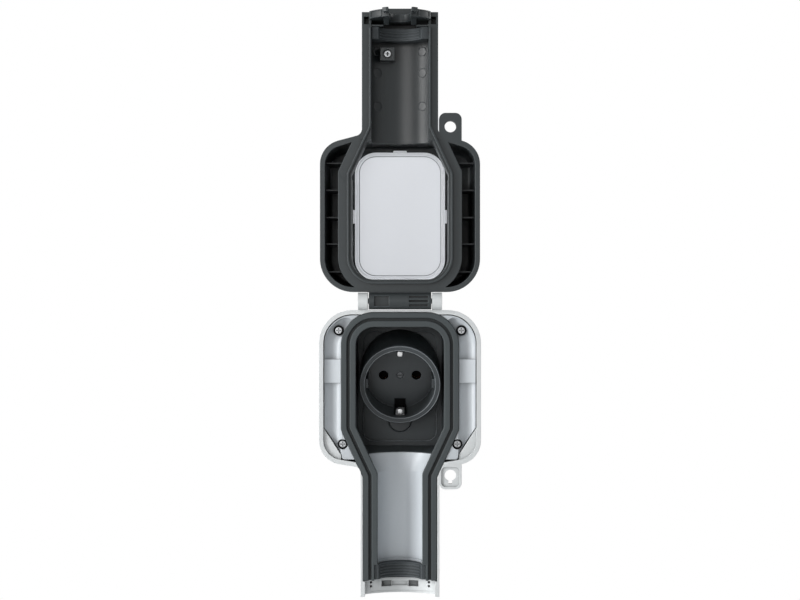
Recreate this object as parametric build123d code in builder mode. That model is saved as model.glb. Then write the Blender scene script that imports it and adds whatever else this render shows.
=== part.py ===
from build123d import *
import os
from math import cos, radians, sin, tan

# Weatherproof plug-in smart socket with a hinged lid, opened flat.
# Origin: midway between the plug pins, at their roots. +Y runs into the wall, +Z is up.
# Front views are drawn as (x, v): v is the distance from the hinge axis.
# Depth w is the distance behind the parting plane, where the closed lid meets the base.

# Layout
HINGE_HEIGHT = 43.0
HOUSING_DEPTH = 58.0
PLUG_STANDOFF = 18.0
RIM_GAP = 0.15
SHELL_WALL = 2.4
SHELL_DRAFT = 2.0
SLIP = 0.3

# Body and neck of the base
BODY_HALF = 45.0
BODY_TOP = 5.0
BODY_BOTTOM = 91.0
TOP_CORNER_R = 18.5
BOTTOM_CORNER_R = 13.5
CROWN_RISE = 1.5
BODY_FALL = 2.0
NECK_FILLET = 4.0
FILLET_ROOT = 1.5
BACK_EDGE_R = 6.0
NECK_HALF = 21.9
NECK_END = 164.4
NECK_DEPTH = 19.2
NECK_SIDE = 7.0

# Seal line, shared by the base gasket, its seat and the lid's tongue
SEAL_HALF = 32.8
SEAL_NECK_HALF = 20.6
SEAL_TOP = 6.2
SEAL_SHOULDER = 71.7
SEAL_SLANT = 25.0
SEAL_CORNER_R = 18.4
SEAL_KNEE_R = 3.0
SEAL_WIDTH = 8.2
SEAL_HEIGHT = 3.05
SEAL_END = 155.5
GROOVE_INSET = 4.0
GROOVE_WIDTH = 1.6
GROOVE_DEPTH = 2.5
TONGUE_WIDTH = 1.0
TONGUE_HEIGHT = 1.8
LIP_ROUND = 0.45

# Front frame: a light inner frame with a finger trough on each side
FRAME_GAP = 0.5
FRAME_TOP = 0.8
FRAME_THICK = 5.4
FRAME_CUT_V = 70.5
FRAME_CUT_HALF = 32.3
FRAME_CUT_END = 85.7
FRAME_CORNER_R = 1.5
LEDGE_GAP = 0.5
LEDGE_DEPTH = 1.4
LEDGE_THICK = 2.4
GASKET_OVERHANG = 0.8
TROUGH_R = 5.6
TROUGH_DEPTH = 3.1
TROUGH_TURN_V = 26.0
TROUGH_TURN_R = 13.5
TROUGH_TURN_ANGLE = 62.0
SADDLE_R = 12.0
SADDLE_DEPTH = 1.1
SADDLE_START = 32.5
SADDLE_END = 45.5
CHANNEL_DEPTH = 14.5
CHANNEL_WALL = 1.8
CHANNEL_END = 146.5
BEAD_WIDTH = 1.4
BEAD_HEIGHT = 0.7

# Fasteners of the frame
UPPER_SCREW = (34.2, 16.4)
LOWER_SCREW = (31.9, 79.7)
SCREW_HEAD_R = 2.1
SCREW_HEAD_H = 1.8
SCREW_SHANK_R = 1.35
SCREW_LENGTH = 12.0
SCREW_SINK = 3.4
SCREW_HOLE_R = 2.85
SCREW_CLEARANCE = 0.15
SCREW_ROUND = 0.5
SCREW_SLOT_LENGTH = 2.8
SCREW_SLOT_WIDTH = 0.8
BOSS_R = 3.4

# Tray
TRAY_HALF = 25.4
TRAY_TOP = 13.8
TRAY_END = 85.6
TRAY_CORNER_R = 9.5
TRAY_FOOT_R = 5.0
TRAY_WALL = 1.8
TRAY_SETBACK = 16.0
TRAY_DRAFT = 1.5
TRAY_FLANGE = 2.0
PLATEAU_HALF = 21.5
PLATEAU_TOP = 18.0
PLATEAU_END = 82.0
PLATEAU_R = 6.0
PLATEAU_SINK = 0.8
TRAY_HOLE_R = 20.4

# Socket
SOCKET_TILT = 15.0
SOCKET_R = 23.2
RECESS_R = 19.75
RECESS_DEPTH = 17.5
RECESS_FLOOR = 2.4
SOCKET_RISE = 25.8
RIM_ROUND = 0.8
PIN_PITCH = 19.0
PIN_HOLE_R = 2.8
GUIDE_WIDTH = 5.4
GUIDE_PROUD = 1.6
CLIP_SLOT_WIDTH = 6.6
CLIP_SLOT_DEPTH = 2.2
CLIP_WIDTH = 5.0
CLIP_THICK = 0.9
CONTACT_R = 3.6
CONTACT_WALL = 0.7
CONTACT_LENGTH = 7.0
CONTACT_SLIT = 2.0
CAVITY_STEP = 1.2
GUIDE_SINK = 2.0
CLIP_SLOT_SINK = 4.0
CLIP_BOW = 1.4
CENTRE_SCREW_R = 1.1
CENTRE_HEAD_R = 1.9
CENTRE_HEAD_H = 1.1

# Power button and its switch
BUTTON_V = 70.0
BUTTON_R = 6.6
BUTTON_PROUD = 1.4
BUTTON_LIFT = 0.2
BUTTON_ROUND = 0.5
BUTTON_TRAVEL = 1.0
COLLAR_STEP = 1.0
STEM_R = 1.7
SWITCH_SIDE = 6.2
SWITCH_HEIGHT = 2.0

# Plug on the back
PLUG_R = 18.5
PLUG_SLIP = 0.2
PLUG_FLANGE = 2.5
PLUG_ROUND = 1.0
PLUG_PIN_R = 2.4
PIN_SHANK_R = 2.0
PLUG_PIN_LENGTH = 19.0
PIN_SEAT = 0.05
GUIDE_NOTCH = 2.4
STRIP_WIDTH = 5.0
STRIP_THICK = 0.9

# Circuit board
BOARD_SETBACK = 9.6
BOARD_THICK = 1.6
BOARD_MARGIN = 4.1
BOARD_TOP = 24.0
BOARD_END = 74.0
STANDOFF_MARGIN = 3.5
STANDOFF_ROWS = (29.0, 69.0)
STANDOFF_R = 3.0
BOARD_SCREW_R = 0.95
RELAY_V = 44.0
RELAY = (8.6, 20.0, 15.0)
MODULE = (8.6, 20.0, 14.0)
RADIO_V = 60.0
RADIO = (8.6, 9.0, 3.0)
CAPACITOR_R = 4.2
CAPACITOR_HEIGHT = 17.0
BLOCK_ROUND = 0.5

# Hinge
HINGE_R = 4.7
HINGE_PIN_R = 1.5
HINGE_RUNNING = 0.06
LUG_START = 17.8
LUG_WIDTH = 5.5
LUG_ROOT = 9.0
LUG_REACH = 7.4
KNUCKLE_HALF = 17.3

# Padlock ears
EAR_X = 28.0
EAR_V = 97.0
EAR_HALF = 6.3
EAR_END = 104.6
EAR_R = 3.6
EAR_THICK = 3.0
EAR_RIM = 1.3
EAR_SINK = 0.8
EAR_HOLE_R = 3.2
KEYHOLE_SLOT = 2.2
KEYHOLE_DROP = 4.6

# Neck end of the base
LIP_DEPTH = 12.0
LIP_STEP = 0.8
LIP_EDGE = 1.5
HOOK_X = 7.6
HOOK_INSET = 1.3
HOOK_SLOT = (5.6, 3.4)
HOOK_SPACE = 0.6
TAB_POCKET = (9.0, 2.6)
VENT_X = 16.3
VENT_PITCH = 2.2
VENT_SIDE = 1.2

# Rubber cable seals
LOWER_SEAL_HALF = 14.2
LOWER_SEAL_END = 154.8
UPPER_SEAL_START = 146.0
UPPER_SEAL_LENGTH = 6.5
WEIR_THICK = 0.9
WEIR_EDGE = 0.5
WEIR_GAP = (18.4, 10.0)
SADDLE_EDGE = 1.0
CABLE_HALF = 12.0
CABLE_DIP = 8.5

# Lid
LID_INSET = 0.5
LID_FALL = 4.5
LID_DEPTH = 31.4
LID_WALL = 2.4
LID_RIM = 2.7
LID_DRAFT = 2.5
LID_EDGE_R = 4.5
LID_NECK_HALF = 21.2
LID_NECK_DEPTH = 19.0
LID_NECK_END = 160.6
LID_CHANNEL_HALF = 15.9
LID_CHANNEL_DEPTH = 16.6
LID_CHANNEL_SIDE = 11.0
TONGUE_STEP = 0.1
TONGUE_END = 152.0
BAND_REACH = 1.6
SHOULDER_WALL = 12.0
RIB_SPOTS = (16.4, 32.0, 46.9, 62.2, 77.4)
RIB_TOP = 8.0
RIB_THICK = 0.8
POCKET_X = 10.2
POCKET = (8.2, 5.6)
POCKET_FLOOR = 0.7
SLOT_PITCH = 2.4
SLOT_WIDTH = 1.3
RAIL_POCKET_X = 18.6
RAIL_POCKET_V = 156.0
RAIL_POCKET = (2.8, 4.2)
BLOCK_X = -7.0
BLOCK_V = 139.0
BLOCK_TOP = 9.0
CLAMP_BLOCK = (8.0, 7.3)
CLAMP_SINK = 1.2
CLAMP_SINK_R = 2.6

# Marks that the ejector pins leave in the lid's channel
EJECTOR_R = 2.5
EJECTOR_PROUD = 0.35
EJECTOR_ROOT = 0.6
EJECTOR_ANGLE = 30.0
EJECTOR_ROWS = (110.0, 129.0, 141.0)

# Lid panel
PANEL_HALF = 25.7
PANEL_TOP = 12.1
PANEL_END = 85.2
PANEL_R = 12.0
PANEL_FLANGE = 1.2
PANEL_SEAT = 1.2
PANEL_PROUD = 4.5
PANEL_BEVEL = 2.4
PANEL_DROP = 0.7
ARM_LENGTH = 7.2
ARM_THICK = 0.8
ARM_RISE = 2.6

# End latch of the lid
LATCH_INSET = 0.2
LATCH_THICK = 4.2
ARCH_HALF = 17.0
ARCH_SIDE = 3.0
ARCH_HEIGHT = 11.4
NOTCH_R = 6.0
HOOK_THICK = 2.2
HOOK_WIDTH = 2.6
HOOK_REACH = 15.2
HOOK_BARB = 0.8
GUSSET_FOOT = 2.8
GUSSET_TOP = 1.3
GUSSET_HEIGHT = 9.5
CORD_REST = (13.0, 10.1)
REST_TOP = 7.5
REST_LENGTH = 3.6

# Places that follow from the sizes above
y_part = -(HOUSING_DEPTH + PLUG_STANDOFF)
board_front = HOUSING_DEPTH - BOARD_SETBACK
tray_floor = HOUSING_DEPTH - TRAY_SETBACK
rim_depth = tray_floor - SOCKET_RISE
lid_half = BODY_HALF - LID_INSET
latch_start = LID_NECK_END - LATCH_INSET - LATCH_THICK
hook_v = latch_start + LATCH_THICK - HOOK_INSET
board_half = BODY_HALF - SHELL_WALL - BOARD_MARGIN
standoff_x = board_half - STANDOFF_MARGIN
wall_at_board = BODY_HALF - SHELL_WALL - board_front * tan(radians(SHELL_DRAFT))
side_parts_x = (TRAY_HALF + TRAY_WALL + wall_at_board) / 2
FRONT = Plane(origin=(0, y_part, HINGE_HEIGHT), x_dir=(1, 0, 0), z_dir=(0, 1, 0))


def across(v):
    """Plane across the base at distance v from the hinge, drawn as (x, w)."""
    return Plane(origin=(0, y_part, HINGE_HEIGHT - v), x_dir=(1, 0, 0), z_dir=(0, 0, 1))


def side_view(x):
    """Plane facing +X through the hinge axis, drawn as (w, height above the axis)."""
    return Plane(origin=(x, y_part, HINGE_HEIGHT), x_dir=(0, 1, 0), z_dir=(1, 0, 0))


def body_outline(half, fall, inset=0.0):
    """Rounded body outline: larger corners beside the hinge, sloping shoulders beside the neck."""
    side = half - inset
    top = BODY_TOP + inset
    foot = BODY_BOTTOM - inset
    upper_r = TOP_CORNER_R - inset
    lower_r = BOTTOM_CORNER_R - inset
    with BuildSketch() as outline:
        with BuildLine():
            FilletPolyline(
                (-side, top),
                (side, top),
                (side, foot - fall),
                (NECK_HALF, foot + CROWN_RISE),
                (-NECK_HALF, foot + CROWN_RISE),
                (-side, foot - fall),
                radius=[upper_r, upper_r, lower_r, 0, 0, lower_r],
                close=True,
            )
        make_face()
    return outline.sketch_local


def neck_fillets(half, shoulder):
    """Corner fillets between the body's shoulders and both sides of the neck."""
    with BuildSketch() as corners:
        for side in (-1, 1):
            with Locations((side * (half + NECK_FILLET / 2), shoulder - FILLET_ROOT)):
                Rectangle(NECK_FILLET, NECK_FILLET + FILLET_ROOT, align=(Align.CENTER, Align.MIN))
            with Locations((side * (half + NECK_FILLET), shoulder + NECK_FILLET)):
                Circle(NECK_FILLET, mode=Mode.SUBTRACT)
    return corners.sketch_local


def seal_outline(inset, end):
    """Outline parallel to the seal line: body, slanted shoulders and neck."""
    half = SEAL_HALF - inset
    neck = SEAL_NECK_HALF - inset
    top = SEAL_TOP + inset
    corner_r = SEAL_CORNER_R - inset
    shoulder = SEAL_SHOULDER - inset * tan(radians(SEAL_SLANT / 2))
    waist = shoulder + (SEAL_HALF - SEAL_NECK_HALF) / tan(radians(SEAL_SLANT))
    knee = SEAL_KNEE_R
    with BuildSketch() as outline:
        with BuildLine():
            FilletPolyline(
                (-half, top),
                (half, top),
                (half, shoulder),
                (neck, waist),
                (neck, end),
                (-neck, end),
                (-neck, waist),
                (-half, shoulder),
                radius=[corner_r, corner_r, knee, knee, 0, 0, knee, knee],
                close=True,
            )
        make_face()
    return outline.sketch_local


def trough_section(half, depth, side, front):
    """Section of a round-bottomed trough: straight sides, then one arc."""
    with BuildSketch() as section:
        with BuildLine():
            Polyline((-half, side), (-half, front), (half, front), (half, side))
            ThreePointArc((half, side), (0, depth), (-half, side))
        make_face()
    return section.sketch_local


# Rear housing: tapered shell, neck, hinge lugs, padlock ear and screw bosses
frame_edge = SHELL_WALL + FRAME_GAP
frame_side = BODY_HALF - frame_edge
seat_depth = RIM_GAP + SEAL_HEIGHT
frame_back = FRAME_TOP + FRAME_THICK
housing_floor = HOUSING_DEPTH - SHELL_WALL
screw_spots = [(side * spot[0], spot[1]) for spot in (UPPER_SCREW, LOWER_SCREW) for side in (-1, 1)]
neck_root = BODY_BOTTOM - BOTTOM_CORNER_R
board_back = board_front + BOARD_THICK
standoff_spots = [(side * standoff_x, v) for v in STANDOFF_ROWS for side in (-1, 1)]

with BuildPart() as rear_housing:
    with BuildSketch(FRONT.offset(RIM_GAP)):
        add(body_outline(BODY_HALF, BODY_FALL))
    extrude(amount=HOUSING_DEPTH - RIM_GAP, taper=SHELL_DRAFT)
    fillet(rear_housing.faces().sort_by(Axis.Y)[-1].edges(), BACK_EDGE_R)
    with BuildSketch(across(neck_root)):
        add(trough_section(NECK_HALF, NECK_DEPTH, NECK_SIDE, RIM_GAP))
    extrude(amount=neck_root - NECK_END)
    with BuildSketch(FRONT.offset(RIM_GAP)):
        with Locations((EAR_X, (BODY_BOTTOM + EAR_END) / 2 - EAR_R)):
            RectangleRounded(2 * EAR_HALF, EAR_END - BODY_BOTTOM + 2 * EAR_R, EAR_R)
    extrude(amount=EAR_THICK)
    with BuildSketch(FRONT.offset(RIM_GAP)):
        with Locations((EAR_X, EAR_END - EAR_RIM)):
            RectangleRounded(
                2 * (EAR_HALF - EAR_RIM),
                EAR_END - BODY_BOTTOM - 2 * EAR_RIM,
                EAR_R - EAR_RIM,
                align=(Align.CENTER, Align.MAX),
            )
    extrude(amount=EAR_SINK, mode=Mode.SUBTRACT)
    with BuildSketch(FRONT.offset(RIM_GAP)):
        add(neck_fillets(NECK_HALF, BODY_BOTTOM + CROWN_RISE / 2))
    extrude(amount=NECK_SIDE)
    with BuildSketch(FRONT.offset(RIM_GAP)):
        add(body_outline(BODY_HALF, BODY_FALL, SHELL_WALL))
    extrude(amount=housing_floor - RIM_GAP, taper=SHELL_DRAFT, mode=Mode.SUBTRACT)
    with BuildSketch(across(neck_root)):
        add(trough_section(NECK_HALF - SHELL_WALL, NECK_DEPTH - SHELL_WALL, NECK_SIDE, 0))
    extrude(amount=neck_root - NECK_END, mode=Mode.SUBTRACT)
    # Thick lip that closes the neck's end, with the slots for the lid's hooks
    with BuildSketch(across(SEAL_END + SLIP)):
        add(trough_section(NECK_HALF, NECK_DEPTH, NECK_SIDE, RIM_GAP))
        add(trough_section(NECK_HALF - SHELL_WALL, LIP_DEPTH, NECK_SIDE, 0), mode=Mode.SUBTRACT)
    extrude(amount=SEAL_END + SLIP - NECK_END)
    with BuildSketch(across(NECK_END - LIP_EDGE)):
        add(trough_section(NECK_HALF - SHELL_WALL, LIP_DEPTH + LIP_STEP, NECK_SIDE, 0))
    extrude(amount=-LIP_EDGE, mode=Mode.SUBTRACT)
    with BuildSketch(FRONT):
        with Locations((-HOOK_X, hook_v), (HOOK_X, hook_v)):
            Rectangle(*HOOK_SLOT)
    extrude(amount=HOOK_REACH + HOOK_SPACE, mode=Mode.SUBTRACT)
    with BuildSketch(FRONT):
        with Locations((0, hook_v)):
            Rectangle(*TAB_POCKET)
    extrude(amount=LIP_DEPTH + LIP_STEP, mode=Mode.SUBTRACT)
    with BuildSketch(FRONT):
        with Locations((-VENT_X, hook_v), (VENT_X, hook_v)):
            with GridLocations(0, VENT_PITCH, 1, 2):
                Rectangle(VENT_SIDE, VENT_SIDE)
    extrude(amount=LIP_DEPTH - LIP_STEP, mode=Mode.SUBTRACT)
    # Ledges that fill the lower corners beside the frame's slanted cuts
    with BuildSketch(FRONT.offset(LEDGE_DEPTH)):
        add(body_outline(BODY_HALF, BODY_FALL, SHELL_WALL / 2))
        with BuildLine():
            Polyline(
                (-BODY_HALF, BODY_TOP),
                (BODY_HALF, BODY_TOP),
                (BODY_HALF, FRAME_CUT_V),
                (frame_side + LEDGE_GAP, FRAME_CUT_V),
                (FRAME_CUT_HALF + LEDGE_GAP, FRAME_CUT_END),
                (FRAME_CUT_HALF + LEDGE_GAP, NECK_END),
                (-FRAME_CUT_HALF - LEDGE_GAP, NECK_END),
                (-FRAME_CUT_HALF - LEDGE_GAP, FRAME_CUT_END),
                (-frame_side - LEDGE_GAP, FRAME_CUT_V),
                (-BODY_HALF, FRAME_CUT_V),
                close=True,
            )
        make_face(mode=Mode.SUBTRACT)
    extrude(amount=LEDGE_THICK)
    # Hinge lugs
    for lug_x in (LUG_START, -LUG_START - LUG_WIDTH):
        with BuildSketch(side_view(lug_x)):
            Circle(HINGE_R)
            with BuildLine():
                Polyline(
                    (RIM_GAP, 0),
                    (RIM_GAP, -LUG_REACH),
                    (LUG_ROOT, -LUG_REACH),
                    (HINGE_R, 0),
                    close=True,
                )
            make_face()
            Circle(HINGE_PIN_R + HINGE_RUNNING, mode=Mode.SUBTRACT)
        extrude(amount=LUG_WIDTH)
    # Seat of the gasket in the rim and the neck walls
    with BuildSketch(FRONT):
        add(seal_outline(-RIM_GAP, SEAL_END + SLIP))
    extrude(amount=seat_depth, mode=Mode.SUBTRACT)
    # Bosses for the frame screws and the circuit board
    with BuildSketch(FRONT.offset(frame_back)):
        with Locations(*screw_spots):
            Circle(BOSS_R)
    extrude(amount=housing_floor - frame_back)
    with BuildSketch(FRONT.offset(board_back)):
        with Locations(*standoff_spots):
            Circle(STANDOFF_R)
    extrude(amount=housing_floor - board_back)
    with BuildSketch(FRONT.offset(frame_back)):
        with Locations(*screw_spots):
            Circle(SCREW_SHANK_R + SCREW_CLEARANCE)
    extrude(amount=SCREW_LENGTH, mode=Mode.SUBTRACT)
    with BuildSketch(FRONT.offset(board_back)):
        with Locations(*standoff_spots):
            Circle(BOARD_SCREW_R + SCREW_CLEARANCE)
    extrude(amount=SCREW_LENGTH / 2, mode=Mode.SUBTRACT)
    # Round opening for the plug, and the keyhole of the ear
    with BuildSketch(Plane.XZ):
        Circle(PLUG_R + PLUG_SLIP)
    extrude(amount=HOUSING_DEPTH / 2, both=True, mode=Mode.SUBTRACT)
    with BuildSketch(FRONT):
        with Locations((EAR_X, EAR_V)):
            Circle(EAR_HOLE_R)
        with Locations((EAR_X, EAR_V + KEYHOLE_DROP / 2)):
            Rectangle(KEYHOLE_SLOT, KEYHOLE_DROP)
    extrude(amount=2 * EAR_THICK, mode=Mode.SUBTRACT)


# Front frame: flat frame under the gasket, finger troughs and the cable channel
slant = radians(SEAL_SLANT)
channel_start = TRAY_END
channel_shoulder = SEAL_SHOULDER - SEAL_WIDTH * tan(slant / 2)
channel_waist = channel_shoulder + (SEAL_HALF - SEAL_NECK_HALF) / tan(slant)
flare_half = SEAL_HALF - SEAL_WIDTH - (channel_start - channel_shoulder) * tan(slant)
channel_half = SEAL_NECK_HALF - SEAL_WIDTH
bead_root = CHANNEL_WALL / 2
trough_w = FRAME_TOP + TROUGH_DEPTH - TROUGH_R
saddle_w = FRAME_TOP + SADDLE_DEPTH - SADDLE_R
frame_foot = BODY_BOTTOM - frame_edge
trough_x = (SEAL_HALF + frame_side) / 2
frame_leg = NECK_HALF - SHELL_WALL - SLIP
screw_seat = FRAME_TOP + SCREW_SINK

with BuildPart() as front_frame:
    with BuildSketch(FRONT.offset(FRAME_TOP)):
        with BuildLine():
            FilletPolyline(
                (-frame_side, BODY_TOP + frame_edge),
                (frame_side, BODY_TOP + frame_edge),
                (frame_side, FRAME_CUT_V),
                (FRAME_CUT_HALF, FRAME_CUT_END),
                (FRAME_CUT_HALF, frame_foot),
                (-FRAME_CUT_HALF, frame_foot),
                (-FRAME_CUT_HALF, FRAME_CUT_END),
                (-frame_side, FRAME_CUT_V),
                radius=[TOP_CORNER_R - frame_edge] * 2 + [FRAME_CORNER_R] * 6,
                close=True,
            )
        make_face()
        with Locations((0, (frame_foot + SEAL_END) / 2)):
            Rectangle(2 * frame_leg, SEAL_END - frame_foot)
    extrude(amount=FRAME_THICK)
    # Finger troughs, shallower where a saddle crosses them
    for side in (-1, 1):
        turn_centre = (side * (trough_x - TROUGH_TURN_R), TROUGH_TURN_V)
        with BuildLine(FRONT.offset(trough_w)) as trough_path:
            Line((side * trough_x, SADDLE_START), (side * trough_x, TROUGH_TURN_V))
            CenterArc(turn_centre, TROUGH_TURN_R, 90 - 90 * side, -TROUGH_TURN_ANGLE * side)
        with BuildSketch(Plane(origin=trough_path.line @ 0, z_dir=trough_path.line % 0)):
            Circle(TROUGH_R)
        sweep(path=trough_path.line, mode=Mode.SUBTRACT)
        with Locations(trough_path.line @ 1):
            Sphere(TROUGH_R, mode=Mode.SUBTRACT)
    with BuildSketch(across(SADDLE_START)):
        with Locations((-trough_x, saddle_w), (trough_x, saddle_w)):
            Circle(SADDLE_R)
    extrude(amount=SADDLE_START - SADDLE_END, mode=Mode.SUBTRACT)
    with BuildSketch(across(SADDLE_END)):
        with Locations((-trough_x, trough_w), (trough_x, trough_w)):
            Circle(TROUGH_R)
    extrude(amount=SADDLE_END - BODY_BOTTOM, mode=Mode.SUBTRACT)
    # Seat of the gasket and the opening inside it
    with BuildSketch(FRONT):
        add(seal_outline(-RIM_GAP, SEAL_END))
    extrude(amount=seat_depth, mode=Mode.SUBTRACT)
    with BuildSketch(FRONT):
        add(seal_outline(SEAL_WIDTH - GASKET_OVERHANG, SEAL_END))
    extrude(amount=frame_back, mode=Mode.SUBTRACT)
    # Cable channel: a flared mouth, then a half pipe down the neck
    with BuildSketch(across(channel_start)):
        add(trough_section(flare_half + CHANNEL_WALL, CHANNEL_DEPTH + CHANNEL_WALL, frame_back, seat_depth))
    with BuildSketch(across(channel_waist)):
        add(trough_section(channel_half + CHANNEL_WALL, CHANNEL_DEPTH + CHANNEL_WALL, frame_back, seat_depth))
    loft()
    with BuildSketch(across(channel_waist)):
        add(trough_section(channel_half + CHANNEL_WALL, CHANNEL_DEPTH + CHANNEL_WALL, frame_back, seat_depth))
    extrude(amount=channel_waist - SEAL_END)
    with BuildSketch(across(channel_start)):
        add(trough_section(flare_half, CHANNEL_DEPTH, frame_back, 0))
    with BuildSketch(across(channel_waist)):
        add(trough_section(channel_half, CHANNEL_DEPTH, frame_back, 0))
    loft(mode=Mode.SUBTRACT)
    with BuildSketch(across(channel_waist)):
        add(trough_section(channel_half, CHANNEL_DEPTH, frame_back, 0))
    extrude(amount=channel_waist - SEAL_END, mode=Mode.SUBTRACT)
    with BuildSketch(across(CHANNEL_END)):
        add(trough_section(channel_half + bead_root, CHANNEL_DEPTH + bead_root, frame_back, seat_depth))
        add(
            trough_section(channel_half - BEAD_HEIGHT, CHANNEL_DEPTH - BEAD_HEIGHT, frame_back, 0),
            mode=Mode.SUBTRACT,
        )
    extrude(amount=BEAD_WIDTH)
    # Pocket of the lower cable seal
    with BuildSketch(across(CHANNEL_END)):
        add(trough_section(LOWER_SEAL_HALF + RIM_GAP, CHANNEL_DEPTH, frame_back, 0))
    extrude(amount=CHANNEL_END - LOWER_SEAL_END - RIM_GAP, mode=Mode.SUBTRACT)
    # Sunk screw holes
    with BuildSketch(FRONT):
        with Locations(*screw_spots):
            Circle(SCREW_HOLE_R)
    extrude(amount=screw_seat, mode=Mode.SUBTRACT)
    with BuildSketch(FRONT):
        with Locations(*screw_spots):
            Circle(SCREW_SHANK_R + SCREW_CLEARANCE)
    extrude(amount=frame_back, mode=Mode.SUBTRACT)

with BuildPart() as frame_screws:
    with BuildSketch(FRONT.offset(screw_seat)):
        with Locations(*screw_spots):
            Circle(SCREW_HEAD_R)
    extrude(amount=-SCREW_HEAD_H)
    with BuildSketch(FRONT.offset(screw_seat)):
        with Locations(*screw_spots):
            Circle(SCREW_SHANK_R)
    extrude(amount=SCREW_LENGTH)
    fillet(frame_screws.faces().group_by(Axis.Y)[0].edges(), SCREW_ROUND)
    with BuildSketch(FRONT.offset(screw_seat - SCREW_HEAD_H)):
        with Locations(*screw_spots):
            Rectangle(SCREW_SLOT_LENGTH, SCREW_SLOT_WIDTH)
            Rectangle(SCREW_SLOT_WIDTH, SCREW_SLOT_LENGTH)
    extrude(amount=SCREW_HEAD_H / 2, mode=Mode.SUBTRACT)

# Base gasket: one rubber strip with a groove between two lips
with BuildPart() as base_gasket:
    with BuildSketch(FRONT.offset(RIM_GAP)):
        add(seal_outline(0, SEAL_END))
        add(seal_outline(SEAL_WIDTH, SEAL_END), mode=Mode.SUBTRACT)
    extrude(amount=SEAL_HEIGHT)
    with BuildSketch(FRONT.offset(RIM_GAP)):
        add(seal_outline(GROOVE_INSET - GROOVE_WIDTH / 2, SEAL_END))
        add(seal_outline(GROOVE_INSET + GROOVE_WIDTH / 2, SEAL_END), mode=Mode.SUBTRACT)
    extrude(amount=GROOVE_DEPTH, mode=Mode.SUBTRACT)
    fillet(base_gasket.faces().group_by(Axis.Y)[0].edges(), LIP_ROUND)
    with BuildSketch(across(CHANNEL_END)):
        with Locations((0, 0)):
            Rectangle(2 * (LOWER_SEAL_HALF + RIM_GAP), 4 * SEAL_HEIGHT)
    extrude(amount=CHANNEL_END - SEAL_END, mode=Mode.SUBTRACT)

# Lower cable seal: rubber saddle across the cable channel
with BuildPart() as lower_cable_seal:
    with BuildSketch(across(CHANNEL_END + RIM_GAP)):
        add(trough_section(LOWER_SEAL_HALF, CHANNEL_DEPTH - RIM_GAP, frame_back, SADDLE_EDGE))
        with BuildLine():
            ThreePointArc((-CABLE_HALF, SADDLE_EDGE), (0, CABLE_DIP), (CABLE_HALF, SADDLE_EDGE))
            Line((CABLE_HALF, SADDLE_EDGE), (-CABLE_HALF, SADDLE_EDGE))
        make_face(mode=Mode.SUBTRACT)
    extrude(amount=CHANNEL_END + RIM_GAP - LOWER_SEAL_END)

# Socket tray: dark tub that hangs under the frame
tray_back = tray_floor + TRAY_WALL
mouth_wall = CHANNEL_WALL + SLIP
plateau_floor = tray_floor + PLATEAU_SINK
tilt = radians(SOCKET_TILT)
recess_w = rim_depth + RECESS_DEPTH * cos(tilt)
outward = (0, -cos(tilt), -sin(tilt))
SOCKET = Plane(origin=(0, y_part + recess_w, 0), x_dir=(1, 0, 0), z_dir=outward)
socket_axis = Axis((0, 0, 0), outward)
socket_v = HINGE_HEIGHT - (tray_floor - recess_w) * tan(tilt)
button_top = plateau_floor - BUTTON_PROUD


def tray_outline(grow):
    """Rounded outline of the tub, grown by the wall for its outside."""
    half = TRAY_HALF + grow
    corner_r = TRAY_CORNER_R + grow
    foot_r = TRAY_FOOT_R + grow
    with BuildSketch() as outline:
        with BuildLine():
            FilletPolyline(
                (-half, TRAY_TOP - grow),
                (half, TRAY_TOP - grow),
                (half, TRAY_END + grow),
                (-half, TRAY_END + grow),
                radius=[corner_r, corner_r, foot_r, foot_r],
                close=True,
            )
        make_face()
    return outline.sketch_local


with BuildPart() as socket_tray:
    with BuildSketch(FRONT.offset(frame_back)):
        add(tray_outline(TRAY_WALL))
    extrude(amount=tray_back - frame_back, taper=TRAY_DRAFT)
    with BuildSketch(FRONT.offset(frame_back)):
        with Locations((0, (TRAY_TOP + TRAY_END) / 2 - TRAY_WALL - TRAY_FLANGE)):
            RectangleRounded(
                2 * (TRAY_HALF + TRAY_WALL + TRAY_FLANGE),
                TRAY_END - TRAY_TOP,
                TRAY_CORNER_R + TRAY_WALL + TRAY_FLANGE,
            )
    extrude(amount=TRAY_WALL)
    with BuildSketch(FRONT.offset(frame_back)):
        add(tray_outline(0))
    extrude(amount=tray_floor - frame_back, taper=TRAY_DRAFT, mode=Mode.SUBTRACT)
    # Way through the end wall for the frame's cord channel
    with BuildSketch(across(TRAY_END - TRAY_FOOT_R)):
        add(trough_section(flare_half + mouth_wall, CHANNEL_DEPTH + mouth_wall, frame_back, 0))
    extrude(amount=-TRAY_FOOT_R - 2 * TRAY_WALL, mode=Mode.SUBTRACT)
    with BuildSketch(FRONT.offset(tray_floor)):
        with Locations((0, (PLATEAU_TOP + PLATEAU_END) / 2)):
            RectangleRounded(2 * PLATEAU_HALF, PLATEAU_END - PLATEAU_TOP, PLATEAU_R)
        with Locations((0, socket_v)):
            Circle(SOCKET_R / cos(tilt), mode=Mode.SUBTRACT)
    extrude(amount=PLATEAU_SINK, mode=Mode.SUBTRACT)
    with BuildSketch(FRONT.offset(tray_floor)):
        with Locations((0, socket_v)):
            Circle(TRAY_HOLE_R)
        with Locations((0, BUTTON_V)):
            Circle(BUTTON_R + SLIP)
    extrude(amount=TRAY_WALL, mode=Mode.SUBTRACT)

# Socket body: round well on the tray floor, tilted to face slightly down
cavity_r = RECESS_R + CAVITY_STEP
pin_spots = [(-PIN_PITCH / 2, 0), (PIN_PITCH / 2, 0)]
clip_spots = [(0, -RECESS_R), (0, RECESS_R)]

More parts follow.
